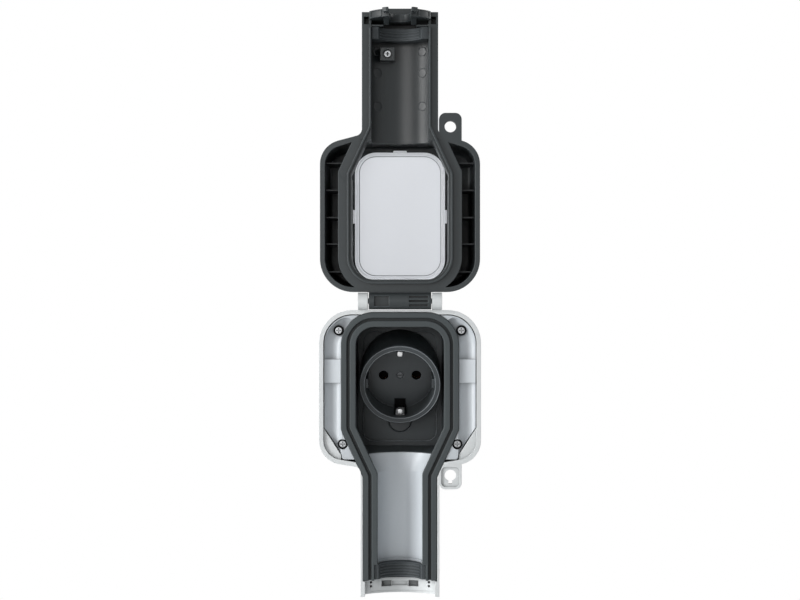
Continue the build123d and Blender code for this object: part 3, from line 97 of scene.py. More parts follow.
class ShaderKit:
    """Node groups that several finishes share, and the steps that place and link them."""

    fine_grain = NoiseForm(3.0, crispness=0.6)
    waviness = NoiseForm(1.0, 90.0)
    wave_share = 0.6
    slow_drift = NoiseForm(2.0, 38.0)
    quick_drift = NoiseForm(3.0, 520.0, 0.6)
    mark_bend = NoiseForm(2.0, 120.0)
    mark_lean = (0.4, 0.9, 0.2)
    mark_stretch = (1.0, 0.12, 1.6)
    mark_width = 0.012
    mark_rarity = 0.56
    drawn_noise = NoiseForm(3.0, 1.0, 0.65)
    edge_samples = 6
    edge_highlight_gain = 6.0
    painted_shade_samples = 8

    def __init__(self) -> None:
        """Builds every group once."""
        self.grain = self._grain_group()
        self.drift = self._drift_group()
        self.scuffs = self._scuff_group()
        self.streaks = self._streak_group()
        self.zone = self._zone_group()
        self.edges = self._edge_group()
        self.painted_crevice_shade = self._painted_shade_group()

    @staticmethod
    def _open(
        name: str, inputs: Sequence[Port], outputs: Sequence[Port]
    ) -> tuple[bpy.types.NodeTree, bpy.types.Node, bpy.types.Node]:
        """Makes an empty group with its sockets.

        Args:
            name: name of the group.
            inputs: sockets on its left side.
            outputs: sockets on its right side.

        Returns:
            The tree, its input node and its output node.
        """
        tree = bpy.data.node_groups.new(name, "ShaderNodeTree")
        for port in inputs:
            socket = tree.interface.new_socket(name=port.name, in_out="INPUT", socket_type=port.kind)
            if port.value is not None:
                socket.default_value = port.value
        for port in outputs:
            tree.interface.new_socket(name=port.name, in_out="OUTPUT", socket_type=port.kind)
        return tree, tree.nodes.new("NodeGroupInput"), tree.nodes.new("NodeGroupOutput")

    @staticmethod
    def _noise(tree: bpy.types.NodeTree, form: NoiseForm, place: bpy.types.NodeSocket) -> bpy.types.Node:
        """Adds a noise texture.

        Args:
            tree: tree that gets the node.
            form: pattern of the noise, with no scale where a socket drives it.
            place: coordinates that it reads.

        Returns:
            The noise node.
        """
        node = tree.nodes.new("ShaderNodeTexNoise")
        node.inputs["Detail"].default_value = form.octaves
        node.inputs["Roughness"].default_value = form.crispness
        if form.scale is not None:
            node.inputs["Scale"].default_value = form.scale
        tree.links.new(place, node.inputs["Vector"])
        return node

    @staticmethod
    def feed(tree: bpy.types.NodeTree, socket: bpy.types.NodeSocket, value: Feed) -> None:
        """Links an input to a socket, or sets it to a fixed value.

        Args:
            tree: tree of the input.
            socket: the input.
            value: the socket or the fixed value that it gets.
        """
        if isinstance(value, bpy.types.NodeSocket):
            tree.links.new(value, socket)
        else:
            socket.default_value = value

    @classmethod
    def insert(cls, tree: bpy.types.NodeTree, group: bpy.types.NodeTree, **values: Feed) -> bpy.types.Node:
        """Places a group in a material.

        Args:
            tree: tree of the material.
            group: the group.
            values: socket or fixed value for each input, by the input's name.

        Returns:
            The group's node.
        """
        node = tree.nodes.new("ShaderNodeGroup")
        node.node_tree = group
        for name, value in values.items():
            cls.feed(tree, node.inputs[name], value)
        return node

    @classmethod
    def maths(cls, tree: bpy.types.NodeTree, operation: str, *operands: Feed) -> bpy.types.NodeSocket:
        """Adds a math node.

        Args:
            tree: tree that gets the node.
            operation: name of the operation.
            operands: a socket or a number for each input, in order.

        Returns:
            The node's output socket.
        """
        node = tree.nodes.new("ShaderNodeMath")
        node.operation = operation
        for socket, operand in zip(node.inputs, operands):
            cls.feed(tree, socket, operand)
        return node.outputs[0]

    @staticmethod
    def scaled(
        tree: bpy.types.NodeTree, colour: bpy.types.NodeSocket, share: bpy.types.NodeSocket
    ) -> bpy.types.NodeSocket:
        """Multiplies a colour by a number.

        Args:
            tree: tree that gets the node.
            colour: the colour.
            share: the number.

        Returns:
            The socket of the product.
        """
        node = tree.nodes.new("ShaderNodeVectorMath")
        node.operation = "SCALE"
        tree.links.new(colour, node.inputs[0])
        tree.links.new(share, node.inputs["Scale"])
        return node.outputs["Vector"]

    @staticmethod
    def relief(
        tree: bpy.types.NodeTree, height: bpy.types.NodeSocket, strength: float, depth: float
    ) -> bpy.types.Node:
        """Gives the material's shader a bump.

        Args:
            tree: tree of the material.
            height: height of the surface, in units of depth.
            strength: share of the bump that shows.
            depth: one unit of height, in metres.

        Returns:
            The bump node, with its Normal input free.
        """
        bump = tree.nodes.new("ShaderNodeBump")
        bump.inputs["Strength"].default_value = strength
        bump.inputs["Distance"].default_value = depth
        tree.links.new(height, bump.inputs["Height"])
        tree.links.new(bump.outputs["Normal"], tree.nodes["Principled BSDF"].inputs["Normal"])
        return bump

    def _grain_group(self) -> bpy.types.NodeTree:
        """Draws the height of a moulded surface: fine grain over a slow waviness.

        Returns:
            The group.
        """
        tree, entry, exit_node = self._open(
            "tool grain",
            [Port("Position", "NodeSocketVector"), Port("Pitch", value=1500.0)],
            [Port("Height")],
        )
        place = entry.outputs["Position"]
        fine = self._noise(tree, self.fine_grain, place)
        tree.links.new(entry.outputs["Pitch"], fine.inputs["Scale"])
        wave = self._noise(tree, self.waviness, place)
        slow = self.maths(tree, "MULTIPLY", wave.outputs["Fac"], self.wave_share)
        total = self.maths(tree, "ADD", fine.outputs["Fac"], slow)
        tree.links.new(total, exit_node.inputs["Height"])
        return tree

    def _drift_group(self) -> bpy.types.NodeTree:
        """Lets colour and roughness wander a little over a surface.

        Returns:
            The group.
        """
        tree, entry, exit_node = self._open(
            "tone drift",
            [
                Port("Position", "NodeSocketVector"),
                Port("Tint", "NodeSocketColor"),
                Port("Drift", value=0.1),
                Port("Roughness", value=0.5),
                Port("Patchiness", value=0.1),
            ],
            [Port("Colour", "NodeSocketColor"), Port("Roughness")],
        )
        slow = self._noise(tree, self.slow_drift, entry.outputs["Position"])
        quick = self._noise(tree, self.quick_drift, entry.outputs["Position"])
        both = self.maths(tree, "ADD", slow.outputs["Fac"], quick.outputs["Fac"])
        centred = self.maths(tree, "SUBTRACT", both, 1.0)
        swing = self.maths(tree, "MULTIPLY", centred, entry.outputs["Drift"])
        level = self.maths(tree, "ADD", swing, 1.0)
        tree.links.new(self.scaled(tree, entry.outputs["Tint"], level), exit_node.inputs["Colour"])
        patch = self.maths(tree, "MULTIPLY", centred, entry.outputs["Patchiness"])
        rough = self.maths(tree, "ADD", patch, entry.outputs["Roughness"])
        tree.links.new(rough, exit_node.inputs["Roughness"])
        return tree

    def _scuff_group(self) -> bpy.types.NodeTree:
        """Masks thin handling marks on a surface that is mostly free of them.

        Returns:
            The group.
        """
        tree, entry, exit_node = self._open(
            "handling marks",
            [Port("Position", "NodeSocketVector"), Port("Spacing", value=60.0)],
            [Port("Mask")],
        )
        bend = self._noise(tree, self.mark_bend, entry.outputs["Position"])
        lean = tree.nodes.new("ShaderNodeMapping")
        lean.inputs["Rotation"].default_value = self.mark_lean
        lean.inputs["Scale"].default_value = self.mark_stretch
        tree.links.new(entry.outputs["Position"], lean.inputs["Vector"])
        lines = tree.nodes.new("ShaderNodeTexVoronoi")
        lines.feature = "DISTANCE_TO_EDGE"
        tree.links.new(lean.outputs["Vector"], lines.inputs["Vector"])
        tree.links.new(entry.outputs["Spacing"], lines.inputs["Scale"])
        thin = self.maths(tree, "LESS_THAN", lines.outputs["Distance"], self.mark_width)
        rare = self.maths(tree, "GREATER_THAN", bend.outputs["Fac"], self.mark_rarity)
        tree.links.new(self.maths(tree, "MULTIPLY", thin, rare), exit_node.inputs["Mask"])
        return tree

    def _streak_group(self) -> bpy.types.NodeTree:
        """Draws the streaks of drawn or rolled metal, along one axis.

        Returns:
            The group.
        """
        tree, entry, exit_node = self._open(
            "drawn streaks",
            [Port("Position", "NodeSocketVector"), Port("Along", "NodeSocketVector")],
            [Port("Streak")],
        )
        stretch = tree.nodes.new("ShaderNodeVectorMath")
        stretch.operation = "MULTIPLY"
        tree.links.new(entry.outputs["Position"], stretch.inputs[0])
        tree.links.new(entry.outputs["Along"], stretch.inputs[1])
        noise = self._noise(tree, self.drawn_noise, stretch.outputs["Vector"])
        tree.links.new(noise.outputs["Fac"], exit_node.inputs["Streak"])
        return tree

    def _zone_group(self) -> bpy.types.NodeTree:
        """Masks a box, where the mould was polished, with 1 inside it.

        Returns:
            The group.
        """
        tree, entry, exit_node = self._open(
            "polished zone",
            [
                Port("Position", "NodeSocketVector"),
                Port("Low", "NodeSocketVector"),
                Port("High", "NodeSocketVector"),
            ],
            [Port("Mask")],
        )
        inside = None
        for name, operation in (("Low", "GREATER_THAN"), ("High", "LESS_THAN")):
            place = tree.nodes.new("ShaderNodeSeparateXYZ")
            limit = tree.nodes.new("ShaderNodeSeparateXYZ")
            tree.links.new(entry.outputs["Position"], place.inputs[0])
            tree.links.new(entry.outputs[name], limit.inputs[0])
            for axis in range(3):
                test = self.maths(tree, operation, place.outputs[axis], limit.outputs[axis])
                inside = test if inside is None else self.maths(tree, "MULTIPLY", inside, test)
        tree.links.new(inside, exit_node.inputs["Mask"])
        return tree

    def _edge_group(self) -> bpy.types.NodeTree:
        """Rounds the normal of moulded edges, and masks where they are, for a highlight painted along them.

        Returns:
            The group.
        """
        tree, entry, exit_node = self._open(
            "soft edges and highlight mask",
            [Port("Radius", value=0.0003)],
            [Port("Normal", "NodeSocketVector"), Port("Mask")],
        )
        rounded = tree.nodes.new("ShaderNodeBevel")
        rounded.samples = self.edge_samples
        tree.links.new(entry.outputs["Radius"], rounded.inputs["Radius"])
        surface = tree.nodes.new("ShaderNodeNewGeometry")
        along = tree.nodes.new("ShaderNodeVectorMath")
        along.operation = "DOT_PRODUCT"
        tree.links.new(rounded.outputs["Normal"], along.inputs[0])
        tree.links.new(surface.outputs["Normal"], along.inputs[1])
        turned = self.maths(tree, "SUBTRACT", 1.0, along.outputs["Value"])
        gained = self.maths(tree, "MULTIPLY", turned, self.edge_highlight_gain)
        edge_highlight_mask = self.maths(tree, "MINIMUM", gained, 1.0)
        tree.links.new(rounded.outputs["Normal"], exit_node.inputs["Normal"])
        tree.links.new(edge_highlight_mask, exit_node.inputs["Mask"])
        return tree

    def _painted_shade_group(self) -> bpy.types.NodeTree:
        """Paints shade into a colour in gaps, grooves and corners: darker where ambient occlusion finds the
        surface closed in.

        Returns:
            The group.
        """
        tree, entry, exit_node = self._open(
            "painted_crevice_shade",
            [Port("Colour", "NodeSocketColor"), Port("Reach", value=0.004), Port("Depth", value=0.6)],
            [Port("Colour", "NodeSocketColor")],
        )
        shade = tree.nodes.new("ShaderNodeAmbientOcclusion")
        shade.samples = self.painted_shade_samples
        tree.links.new(entry.outputs["Reach"], shade.inputs["Distance"])
        closed = self.maths(tree, "SUBTRACT", 1.0, shade.outputs["AO"])
        loss = self.maths(tree, "MULTIPLY", closed, entry.outputs["Depth"])
        share = self.maths(tree, "SUBTRACT", 1.0, loss)
        tree.links.new(self.scaled(tree, entry.outputs["Colour"], share), exit_node.inputs["Colour"])
        return tree


@dataclass(frozen=True)
class Zone:
    """Box in the object's own coordinates, in metres, and the roughness inside it."""

    low: tuple[float, float, float]
    high: tuple[float, float, float]
    roughness: float


@dataclass(frozen=True)
class Finish:
    """What every finish has: its name, the record's material slot, its tone and its painted shade in
    crevices.
    """

    name: str
    slot: str
    tint: Tint
    roughness: float
    _: KW_ONLY
    drift: float = 0.06
    patchiness: float = 0.08
    # Reach and strength of the shade painted into crevices
    painted_shade_reach: float = 4 * MM
    painted_shade_depth: float = 0.8

    def material(self, kit: ShaderKit) -> bpy.types.Material:
        """Builds the finish.

        Args:
            kit: the shared node groups.

        Returns:
            A material that reads Object coordinates.
        """
        made = bpy.data.materials.new(self.name)
        made.use_nodes = True
        place = made.node_tree.nodes.new("ShaderNodeTexCoord").outputs["Object"]
        self.paint(kit, made.node_tree, place)
        return made

    def paint(self, kit: ShaderKit, tree: bpy.types.NodeTree, place: bpy.types.NodeSocket) -> None:
        """Links the shader of a new material, which each kind of finish does in its own way."""
        raise NotImplementedError

    def tone(
        self, kit: ShaderKit, tree: bpy.types.NodeTree, place: bpy.types.NodeSocket
    ) -> bpy.types.Node:
        """Inserts the wandering colour and roughness.

        Args:
            kit: the shared node groups.
            tree: tree of the material.
            place: Object coordinates.

        Returns:
            The node that puts them out.
        """
        return kit.insert(
            tree,
            kit.drift,
            Position=place,
            Tint=self.tint.linear(),
            Drift=self.drift,
            Roughness=self.roughness,
            Patchiness=self.patchiness,
        )

    def colour(self, kit: ShaderKit, tree: bpy.types.NodeTree, tone: bpy.types.NodeSocket) -> None:
        """Paints shade into a tone in crevices and makes it the shader's colour.

        Args:
            kit: the shared node groups.
            tree: tree of the material.
            tone: colour of the open surface.
        """
        shaded = kit.insert(
            tree, kit.painted_crevice_shade, Colour=tone, Reach=self.painted_shade_reach, Depth=self.painted_shade_depth
        )
        tree.links.new(shaded.outputs["Colour"], tree.nodes["Principled BSDF"].inputs["Base Color"])


@dataclass(frozen=True)
class MouldedFinish(Finish):
    """Injection-moulded plastic or rubber."""

    grain: ToolGrain
    _: KW_ONLY
    specular: float = 0.5
    sheen: float = 0.0
    milkiness: float = 0.0
    edge_radius: float = 0.35 * MM
    # How much lighter the edges are painted, as a highlight
    edge_highlight: float = 1.4
    scuffed: bool = False
    scuff_gain: float = 0.12
    grain_strength: float = 0.5
    polished: Zone | None = None

    def gloss(
        self,
        kit: ShaderKit,
        tree: bpy.types.NodeTree,
        place: bpy.types.NodeSocket,
        roughness: bpy.types.NodeSocket,
    ) -> bpy.types.NodeSocket:
        """Adds the handling marks and the polished zone to the roughness.

        Args:
            kit: the shared node groups.
            tree: tree of the material.
            place: Object coordinates.
            roughness: roughness of the plain surface.

        Returns:
            The roughness with what the finish has of them.
        """
        if self.scuffed:
            marks = kit.insert(tree, kit.scuffs, Position=place)
            roughness = kit.maths(tree, "MULTIPLY_ADD", marks.outputs["Mask"], self.scuff_gain, roughness)
        if self.polished is not None:
            zone = kit.insert(
                tree, kit.zone, Position=place, Low=self.polished.low, High=self.polished.high
            )
            polish = tree.nodes.new("ShaderNodeMix")
            polish.inputs["B"].default_value = self.polished.roughness
            tree.links.new(zone.outputs["Mask"], polish.inputs["Factor"])
            tree.links.new(roughness, polish.inputs["A"])
            roughness = polish.outputs["Result"]
        return roughness

    def paint(self, kit: ShaderKit, tree: bpy.types.NodeTree, place: bpy.types.NodeSocket) -> None:
        """Links tone, highlights painted on edges, gloss and grain to the shader.

        Args:
            kit: the shared node groups.
            tree: tree of the material.
            place: Object coordinates.
        """
        shader = tree.nodes["Principled BSDF"]
        shader.inputs["Specular IOR Level"].default_value = self.specular
        shader.inputs["Sheen Weight"].default_value = self.sheen
        shader.inputs["Transmission Weight"].default_value = self.milkiness
        tone = self.tone(kit, tree, place)
        edges = kit.insert(tree, kit.edges, Radius=self.edge_radius)
        # Edges get a lighter colour: a painted highlight along every moulded edge
        painted_highlight = kit.maths(tree, "MULTIPLY_ADD", edges.outputs["Mask"], self.edge_highlight, 1.0)
        self.colour(kit, tree, kit.scaled(tree, tone.outputs["Colour"], painted_highlight))
        gloss = self.gloss(kit, tree, place, tone.outputs["Roughness"])
        tree.links.new(gloss, shader.inputs["Roughness"])
        pitch, depth = self.grain.value
        grain = kit.insert(tree, kit.grain, Position=place, Pitch=pitch)
        bump = kit.relief(tree, grain.outputs["Height"], self.grain_strength, depth)
        tree.links.new(edges.outputs["Normal"], bump.inputs["Normal"])


@dataclass(frozen=True)
class MetalFinish(Finish):
    """Plated or bare metal with drawn streaks."""

    along: tuple[float, float, float]
    _: KW_ONLY
    drift: float = 0.12
    patchiness: float = 0.1
    # Reach and strength of the shade painted into crevices
    painted_shade_reach: float = 2 * MM
    painted_shade_depth: float = 0.95
    metallic: float = 1.0
    streak_gain: float = 0.16
    streak_strength: float = 0.3
    streak_depth: float = 0.03 * MM

    def paint(self, kit: ShaderKit, tree: bpy.types.NodeTree, place: bpy.types.NodeSocket) -> None:
        """Links tone and streaks to the shader.

        Args:
            kit: the shared node groups.
            tree: tree of the material.
            place: Object coordinates.
        """
        shader = tree.nodes["Principled BSDF"]
        shader.inputs["Metallic"].default_value = self.metallic
        tone = self.tone(kit, tree, place)
        self.colour(kit, tree, tone.outputs["Colour"])
        streak = kit.insert(tree, kit.streaks, Position=place, Along=self.along).outputs["Streak"]
        gloss = kit.maths(tree, "MULTIPLY_ADD", streak, self.streak_gain, tone.outputs["Roughness"])
        tree.links.new(gloss, shader.inputs["Roughness"])
        kit.relief(tree, streak, self.streak_strength, self.streak_depth)


PALE_SHELL = MouldedFinish(
    "pale shell", "light_plastic", Tint(224, 228, 229), 0.42, ToolGrain.ERODED, drift=0.03, edge_highlight=0.1
)
PALE_FRAME = MouldedFinish(
    "pale frame", "frame_plastic", Tint(204, 210, 215), 0.36, ToolGrain.SATIN, drift=0.03, edge_highlight=0.1
)
PALE_PANEL = MouldedFinish(
    "pale panel",
    "light_plastic",
    Tint(226, 229, 234),
    0.34,
    ToolGrain.POLISHED,
    drift=0.02,
    patchiness=0.0,
    edge_highlight=0.1,
    painted_shade_depth=0.1,
    milkiness=0.85,
)
# Near white and milky: painted highlight on the bead round the panel
PANEL_HIGHLIGHT = MouldedFinish(
    "panel painted highlight",
    "light_plastic",
    Tint(252, 253, 254),
    0.3,
    ToolGrain.POLISHED,
    drift=0.0,
    edge_highlight=0.1,
    painted_shade_depth=0.0,
    milkiness=0.9,
)
PANEL_LINE = MouldedFinish(
    "panel line", "light_plastic", Tint(172, 176, 181), 0.4, ToolGrain.SATIN, drift=0.02, edge_highlight=0.1
)
NECK_CORE = Zone((-0.0158, -0.0758, 0.1285), (0.0158, -0.05, 0.1935), 0.3)
ANTHRACITE = MouldedFinish(
    "anthracite shell",
    "lid_plastic",
    Tint(50, 55, 57),
    0.46,
    ToolGrain.ERODED,
    specular=0.36,
    edge_radius=0.5 * MM,
    edge_highlight=1.8,
    painted_shade_reach=12 * MM,
    painted_shade_depth=0.9,
    scuffed=True,
    polished=NECK_CORE,
)
LATCH_BLACK = MouldedFinish(
    "latch black",
    "latch_plastic",
    Tint(46, 51, 53),
    0.4,
    ToolGrain.SATIN,
    specular=0.3,
    edge_radius=0.4 * MM,
    edge_highlight=2.6,
    painted_shade_depth=1.0,
)
TUB_BLACK = MouldedFinish(
    "tub black",
    "tray_plastic",
    Tint(74, 80, 83),
    0.42,
    ToolGrain.ERODED,
    specular=0.35,
    edge_radius=0.6 * MM,
    edge_highlight=1.8,
)
# Lighter copy of the tub black: painted highlight on the tub's lip
TUB_HIGHLIGHT = MouldedFinish(
    "tub painted highlight", "tray_plastic", Tint(112, 118, 122), 0.4, ToolGrain.SATIN, specular=0.35
)
OUTLET_GREY = MouldedFinish(
    "outlet grey",
    "socket_plastic",
    Tint(64, 69, 72),
    0.36,
    ToolGrain.SATIN,
    specular=0.35,
    edge_radius=0.5 * MM,
    edge_highlight=2.0,
)
# Lighter copy of the outlet grey: painted highlight on the rim beads
RIM_HIGHLIGHT = MouldedFinish(
    "rim painted highlight", "socket_plastic", Tint(130, 136, 140), 0.3, ToolGrain.SATIN, edge_highlight=0.2
)
GASKET_RUBBER = MouldedFinish(
    "gasket rubber",
    "gasket_rubber",
    Tint(66, 72, 74),
    0.5,
    ToolGrain.RUBBER,
    specular=0.3,
    sheen=0.05,
    edge_radius=0.5 * MM,
    edge_highlight=1.8,
    painted_shade_reach=3 * MM,
    painted_shade_depth=1.0,
)
SEAL_RUBBER = MouldedFinish(
    "seal rubber", "seal_rubber", Tint(66, 71, 74), 0.6, ToolGrain.RUBBER, specular=0.3
)
# Near black rubber: sealing rings that also stand for painted shade in the screw wells
RING_RUBBER_AND_SHADE = MouldedFinish(
    "ring rubber and painted shade", "seal_rubber", Tint(14, 15, 16), 0.7, ToolGrain.RUBBER, specular=0.1, edge_highlight=0.4
)
# Near black with almost no gloss: black inserts that also stand for painted shade in holes, slots and
# recesses
BLACK_AND_SHADE = MouldedFinish(
    "black insert and painted shade", "component_plastic", Tint(11, 11, 12), 0.8, ToolGrain.SATIN, specular=0.06, edge_highlight=0.4
)
BLACK_PART = MouldedFinish("component black", "component_plastic", Tint(40, 41, 43), 0.5, ToolGrain.SATIN)
LAMINATE = MouldedFinish("board lacquer", "board_laminate", Tint(30, 98, 54), 0.25, ToolGrain.POLISHED)
ZINC = MetalFinish("zinc plate", "screw_steel", Tint(168, 170, 172), 0.34, (900.0, 900.0, 900.0))
DARK_STEEL = MetalFinish("dark steel", "screw_steel", Tint(84, 86, 88), 0.4, (900.0, 900.0, 900.0))
BRIGHT_SPRING = MetalFinish(
    "bright spring steel",
    "spring_steel",
    Tint(222, 223, 224),
    0.3,
    (300.0, 60.0, 2600.0),
    painted_shade_depth=0.2,
    metallic=0.55,
)
NICKEL = MetalFinish("nickel plate", "pin_metal", Tint(214, 211, 204), 0.18, (1800.0, 40.0, 1800.0))
COPPER = MetalFinish("bare copper alloy", "contact_brass", Tint(205, 138, 96), 0.3, (1200.0, 80.0, 1200.0))


class Former:
    """Small mesh starts and steps that several pieces share, in millimetres.

    The round on a lip's edge is lip_share of half its thickness.
    """

    turn_steps = 48
    arch_steps = 28
    corner_steps = 10
    round_steps = 2
    sharp_angle = 40.0
    lip_share = 1 / 3

    @classmethod
    def soften(cls, mesh: bmesh.types.BMesh, offset: float) -> None:
        """Rounds the sharp edges.

        Args:
            mesh: shape to round.
            offset: width of the round.
        """
        limit = math.radians(cls.sharp_angle)
        sharp = [edge for edge in mesh.edges if edge.calc_face_angle(0.0) > limit]
        bmesh.ops.bevel(
            mesh,
            geom=sharp,
            offset=offset,
            offset_type="OFFSET",
            segments=cls.round_steps,
            profile=0.5,
            affect="EDGES",
            clamp_overlap=True,
            material=-1,
        )

    @staticmethod
    def _section(inner: float, outer: float, low: float, high: float) -> bmesh.types.BMesh:
        """Draws a rectangle in the XZ plane.

        Args:
            inner: smaller distance from the Z axis.
            outer: larger distance from it.
            low: lower edge.
            high: upper edge.

        Returns:
            A mesh of one face.
        """
        mesh = bmesh.new()
        bmesh.ops.create_grid(mesh, x_segments=1, y_segments=1, size=0.5)
        bmesh.ops.scale(mesh, vec=(outer - inner, high - low, 1.0), verts=mesh.verts)
        bmesh.ops.translate(mesh, vec=((inner + outer) / 2, (low + high) / 2, 0.0), verts=mesh.verts)
        bmesh.ops.rotate(mesh, matrix=Matrix.Rotation(math.radians(90), 3, "X"), verts=mesh.verts)
        return mesh

    @classmethod
    def ring(
        cls, inner: float, outer: float, low: float, high: float, round_off: float
    ) -> bmesh.types.BMesh:
        """Spins a ring about the Z axis.

        Args:
            inner: radius of the bore.
            outer: outer radius.
            low: lower face.
            high: upper face.
            round_off: width of the rounded edges.

        Returns:
            A closed ring.
        """
        mesh = cls._section(inner, outer, low, high)
        bmesh.ops.delete(mesh, geom=mesh.faces[:], context="FACES_KEEP_BOUNDARY")
        bmesh.ops.spin(
            mesh,
            geom=mesh.verts[:] + mesh.edges[:],
            axis=(0, 0, 1),
            cent=(0, 0, 0),
            angle=math.tau,
            steps=cls.turn_steps,
            use_merge=True,
        )
        bmesh.ops.recalc_face_normals(mesh, faces=mesh.faces)
        cls.soften(mesh, round_off)
        return mesh

    @classmethod
    def rib(
        cls, inner: float, outer: float, width: float, start: float, sweep: float, round_off: float
    ) -> bmesh.types.BMesh:
        """Spins an arched rib about the Z axis.

        Args:
            inner: smaller radius.
            outer: larger radius.
            width: size along Z, half on each side of zero.
            start: first angle from the X axis, in degrees.
            sweep: angle of the arch, in degrees.
            round_off: width of the rounded edges.

        Returns:
            A closed rib.
        """
        mesh = cls._section(inner, outer, -width / 2, width / 2)
        bmesh.ops.rotate(mesh, matrix=Matrix.Rotation(math.radians(start), 3, "Z"), verts=mesh.verts)
        bmesh.ops.spin(
            mesh,
            geom=mesh.verts[:] + mesh.edges[:] + mesh.faces[:],
            axis=(0, 0, 1),
            cent=(0, 0, 0),
            angle=math.radians(sweep),
            steps=cls.arch_steps,
        )
        bmesh.ops.recalc_face_normals(mesh, faces=mesh.faces)
        cls.soften(mesh, round_off)
        return mesh

    @classmethod
    def block(cls, low: Sequence[float], high: Sequence[float], round_off: float) -> bmesh.types.BMesh:
        """Makes a block with rounded edges.

        Args:
            low: lowest corner.
            high: highest corner.
            round_off: width of the rounded edges.

        Returns:
            A closed block.
        """
        mesh = bmesh.new()
        bmesh.ops.create_cube(mesh, size=1.0)
        bmesh.ops.scale(mesh, vec=[b - a for a, b in zip(low, high)], verts=mesh.verts)
        bmesh.ops.translate(mesh, vec=[(a + b) / 2 for a, b in zip(low, high)], verts=mesh.verts)
        cls.soften(mesh, round_off)
        return mesh

    @classmethod
    def disc(cls, radius: float, low: float, high: float, round_off: float) -> bmesh.types.BMesh:
        """Makes a round pad about Z.

        Args:
            radius: radius of the pad.
            low: height of its underside.
            high: height of its top.
            round_off: width of the rounded edges.

        Returns:
            A closed pad.
        """
        mesh = bmesh.new()
        bmesh.ops.create_cone(
            mesh, cap_ends=True, segments=cls.turn_steps, radius1=radius, radius2=radius, depth=high - low
        )
        bmesh.ops.translate(mesh, vec=(0.0, 0.0, (low + high) / 2), verts=mesh.verts)
        cls.soften(mesh, round_off)
        return mesh

    @classmethod
    def border(
        cls, half: Sequence[float], corner: float, width: float, low: float, high: float, round_off: float
    ) -> bmesh.types.BMesh:
        """Makes a flat border with round corners about Z.

        Args:
            half: half the outer width and half the outer height.
            corner: radius of the outer corners.
            width: width of the border.
            low: height of its underside.
            high: height of its top.
            round_off: width of the rounded edges.

        Returns:
            A closed border.
        """
        mesh = bmesh.new()
        bmesh.ops.create_grid(mesh, x_segments=1, y_segments=1, size=1.0)
        bmesh.ops.scale(mesh, vec=(half[0], half[1], 1.0), verts=mesh.verts)
        bmesh.ops.translate(mesh, vec=(0.0, 0.0, low), verts=mesh.verts)
        bmesh.ops.bevel(
            mesh,
            geom=mesh.verts[:],
            offset=corner,
            affect="VERTICES",
            segments=cls.corner_steps,
            profile=0.5,
            material=-1,
        )
        inside = mesh.faces[:]
        bmesh.ops.inset_region(mesh, faces=inside, thickness=width, use_boundary=True, use_even_offset=True)
        bmesh.ops.delete(mesh, geom=inside, context="FACES")
        risen = bmesh.ops.extrude_face_region(mesh, geom=mesh.faces[:], use_keep_orig=True)["geom"]
        raised = [item for item in risen if isinstance(item, bmesh.types.BMVert)]
        bmesh.ops.translate(mesh, vec=(0.0, 0.0, high - low), verts=raised)
        bmesh.ops.recalc_face_normals(mesh, faces=mesh.faces)
        cls.soften(mesh, round_off)
        return mesh

    @staticmethod
    def placed(mesh: bmesh.types.BMesh, place: Matrix) -> bmesh.types.BMesh:
        """Moves a mesh to its place and returns it."""
        bmesh.ops.transform(mesh, matrix=place, verts=mesh.verts)
        return mesh

    @staticmethod
    def gather(meshes: Iterable[bmesh.types.BMesh]) -> bmesh.types.BMesh:
        """Joins meshes into one, in metres, and frees them.

        Args:
            meshes: shapes in millimetres.

        Returns:
            One mesh in metres.
        """
        whole = bmesh.new()
        for mesh in meshes:
            carrier = bpy.data.meshes.new("carrier")
            mesh.to_mesh(carrier)
            mesh.free()
            whole.from_mesh(carrier)
            bpy.data.meshes.remove(carrier)
        bmesh.ops.scale(whole, vec=(MM, MM, MM), verts=whole.verts)
        return whole


class PieceShop:
    """Turns bmeshes into finished pieces that ride on a CAD body."""

    crease = 35.0

    def __init__(self, kit: ShaderKit) -> None:
        """Keeps the shared node groups and one material per finish."""
        self.kit = kit
        self.materials: dict[str, bpy.types.Material] = {}

    def coat(self, finish: Finish) -> bpy.types.Material:
        """Finds the one material of a finish, or makes it.

        Args:
            finish: the finish.

        Returns:
            Its material.
        """
        if finish.name not in self.materials:
            self.materials[finish.name] = finish.material(self.kit)
        return self.materials[finish.name]

    def dress(self, node_name: str, finish: Finish) -> None:
        """Gives a CAD node its finish.

        Args:
            node_name: name of the CAD node.
            finish: finish for all its faces.
        """
        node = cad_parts[node_name]
        node.data.materials.clear()
        node.data.materials.append(self.coat(finish))
        LOG.info("dressed %s in %s", node_name, finish.name)

    def piece(self, name: str, mesh: bmesh.types.BMesh, body: str, finish: Finish) -> bpy.types.Object:
        """Makes a new piece from a bmesh and frees the bmesh.

        Args:
            name: name of the piece.
            mesh: shape in the row frame, in metres.
            body: CAD body that it rides on.
            finish: its finish.

        Returns:
            The new object, at the origin.
        """
        bmesh.ops.recalc_face_normals(mesh, faces=mesh.faces)
        data = bpy.data.meshes.new(name)
        mesh.to_mesh(data)
        mesh.free()
        data.materials.append(self.coat(finish))
        made = bpy.data.objects.new(name, data)
        bpy.context.scene.collection.objects.link(made)
        data.shade_smooth()
        data.set_sharp_from_angle(angle=math.radians(self.crease))
        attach(made, body)
        LOG.info("made %s on %s", name, body)
        return made


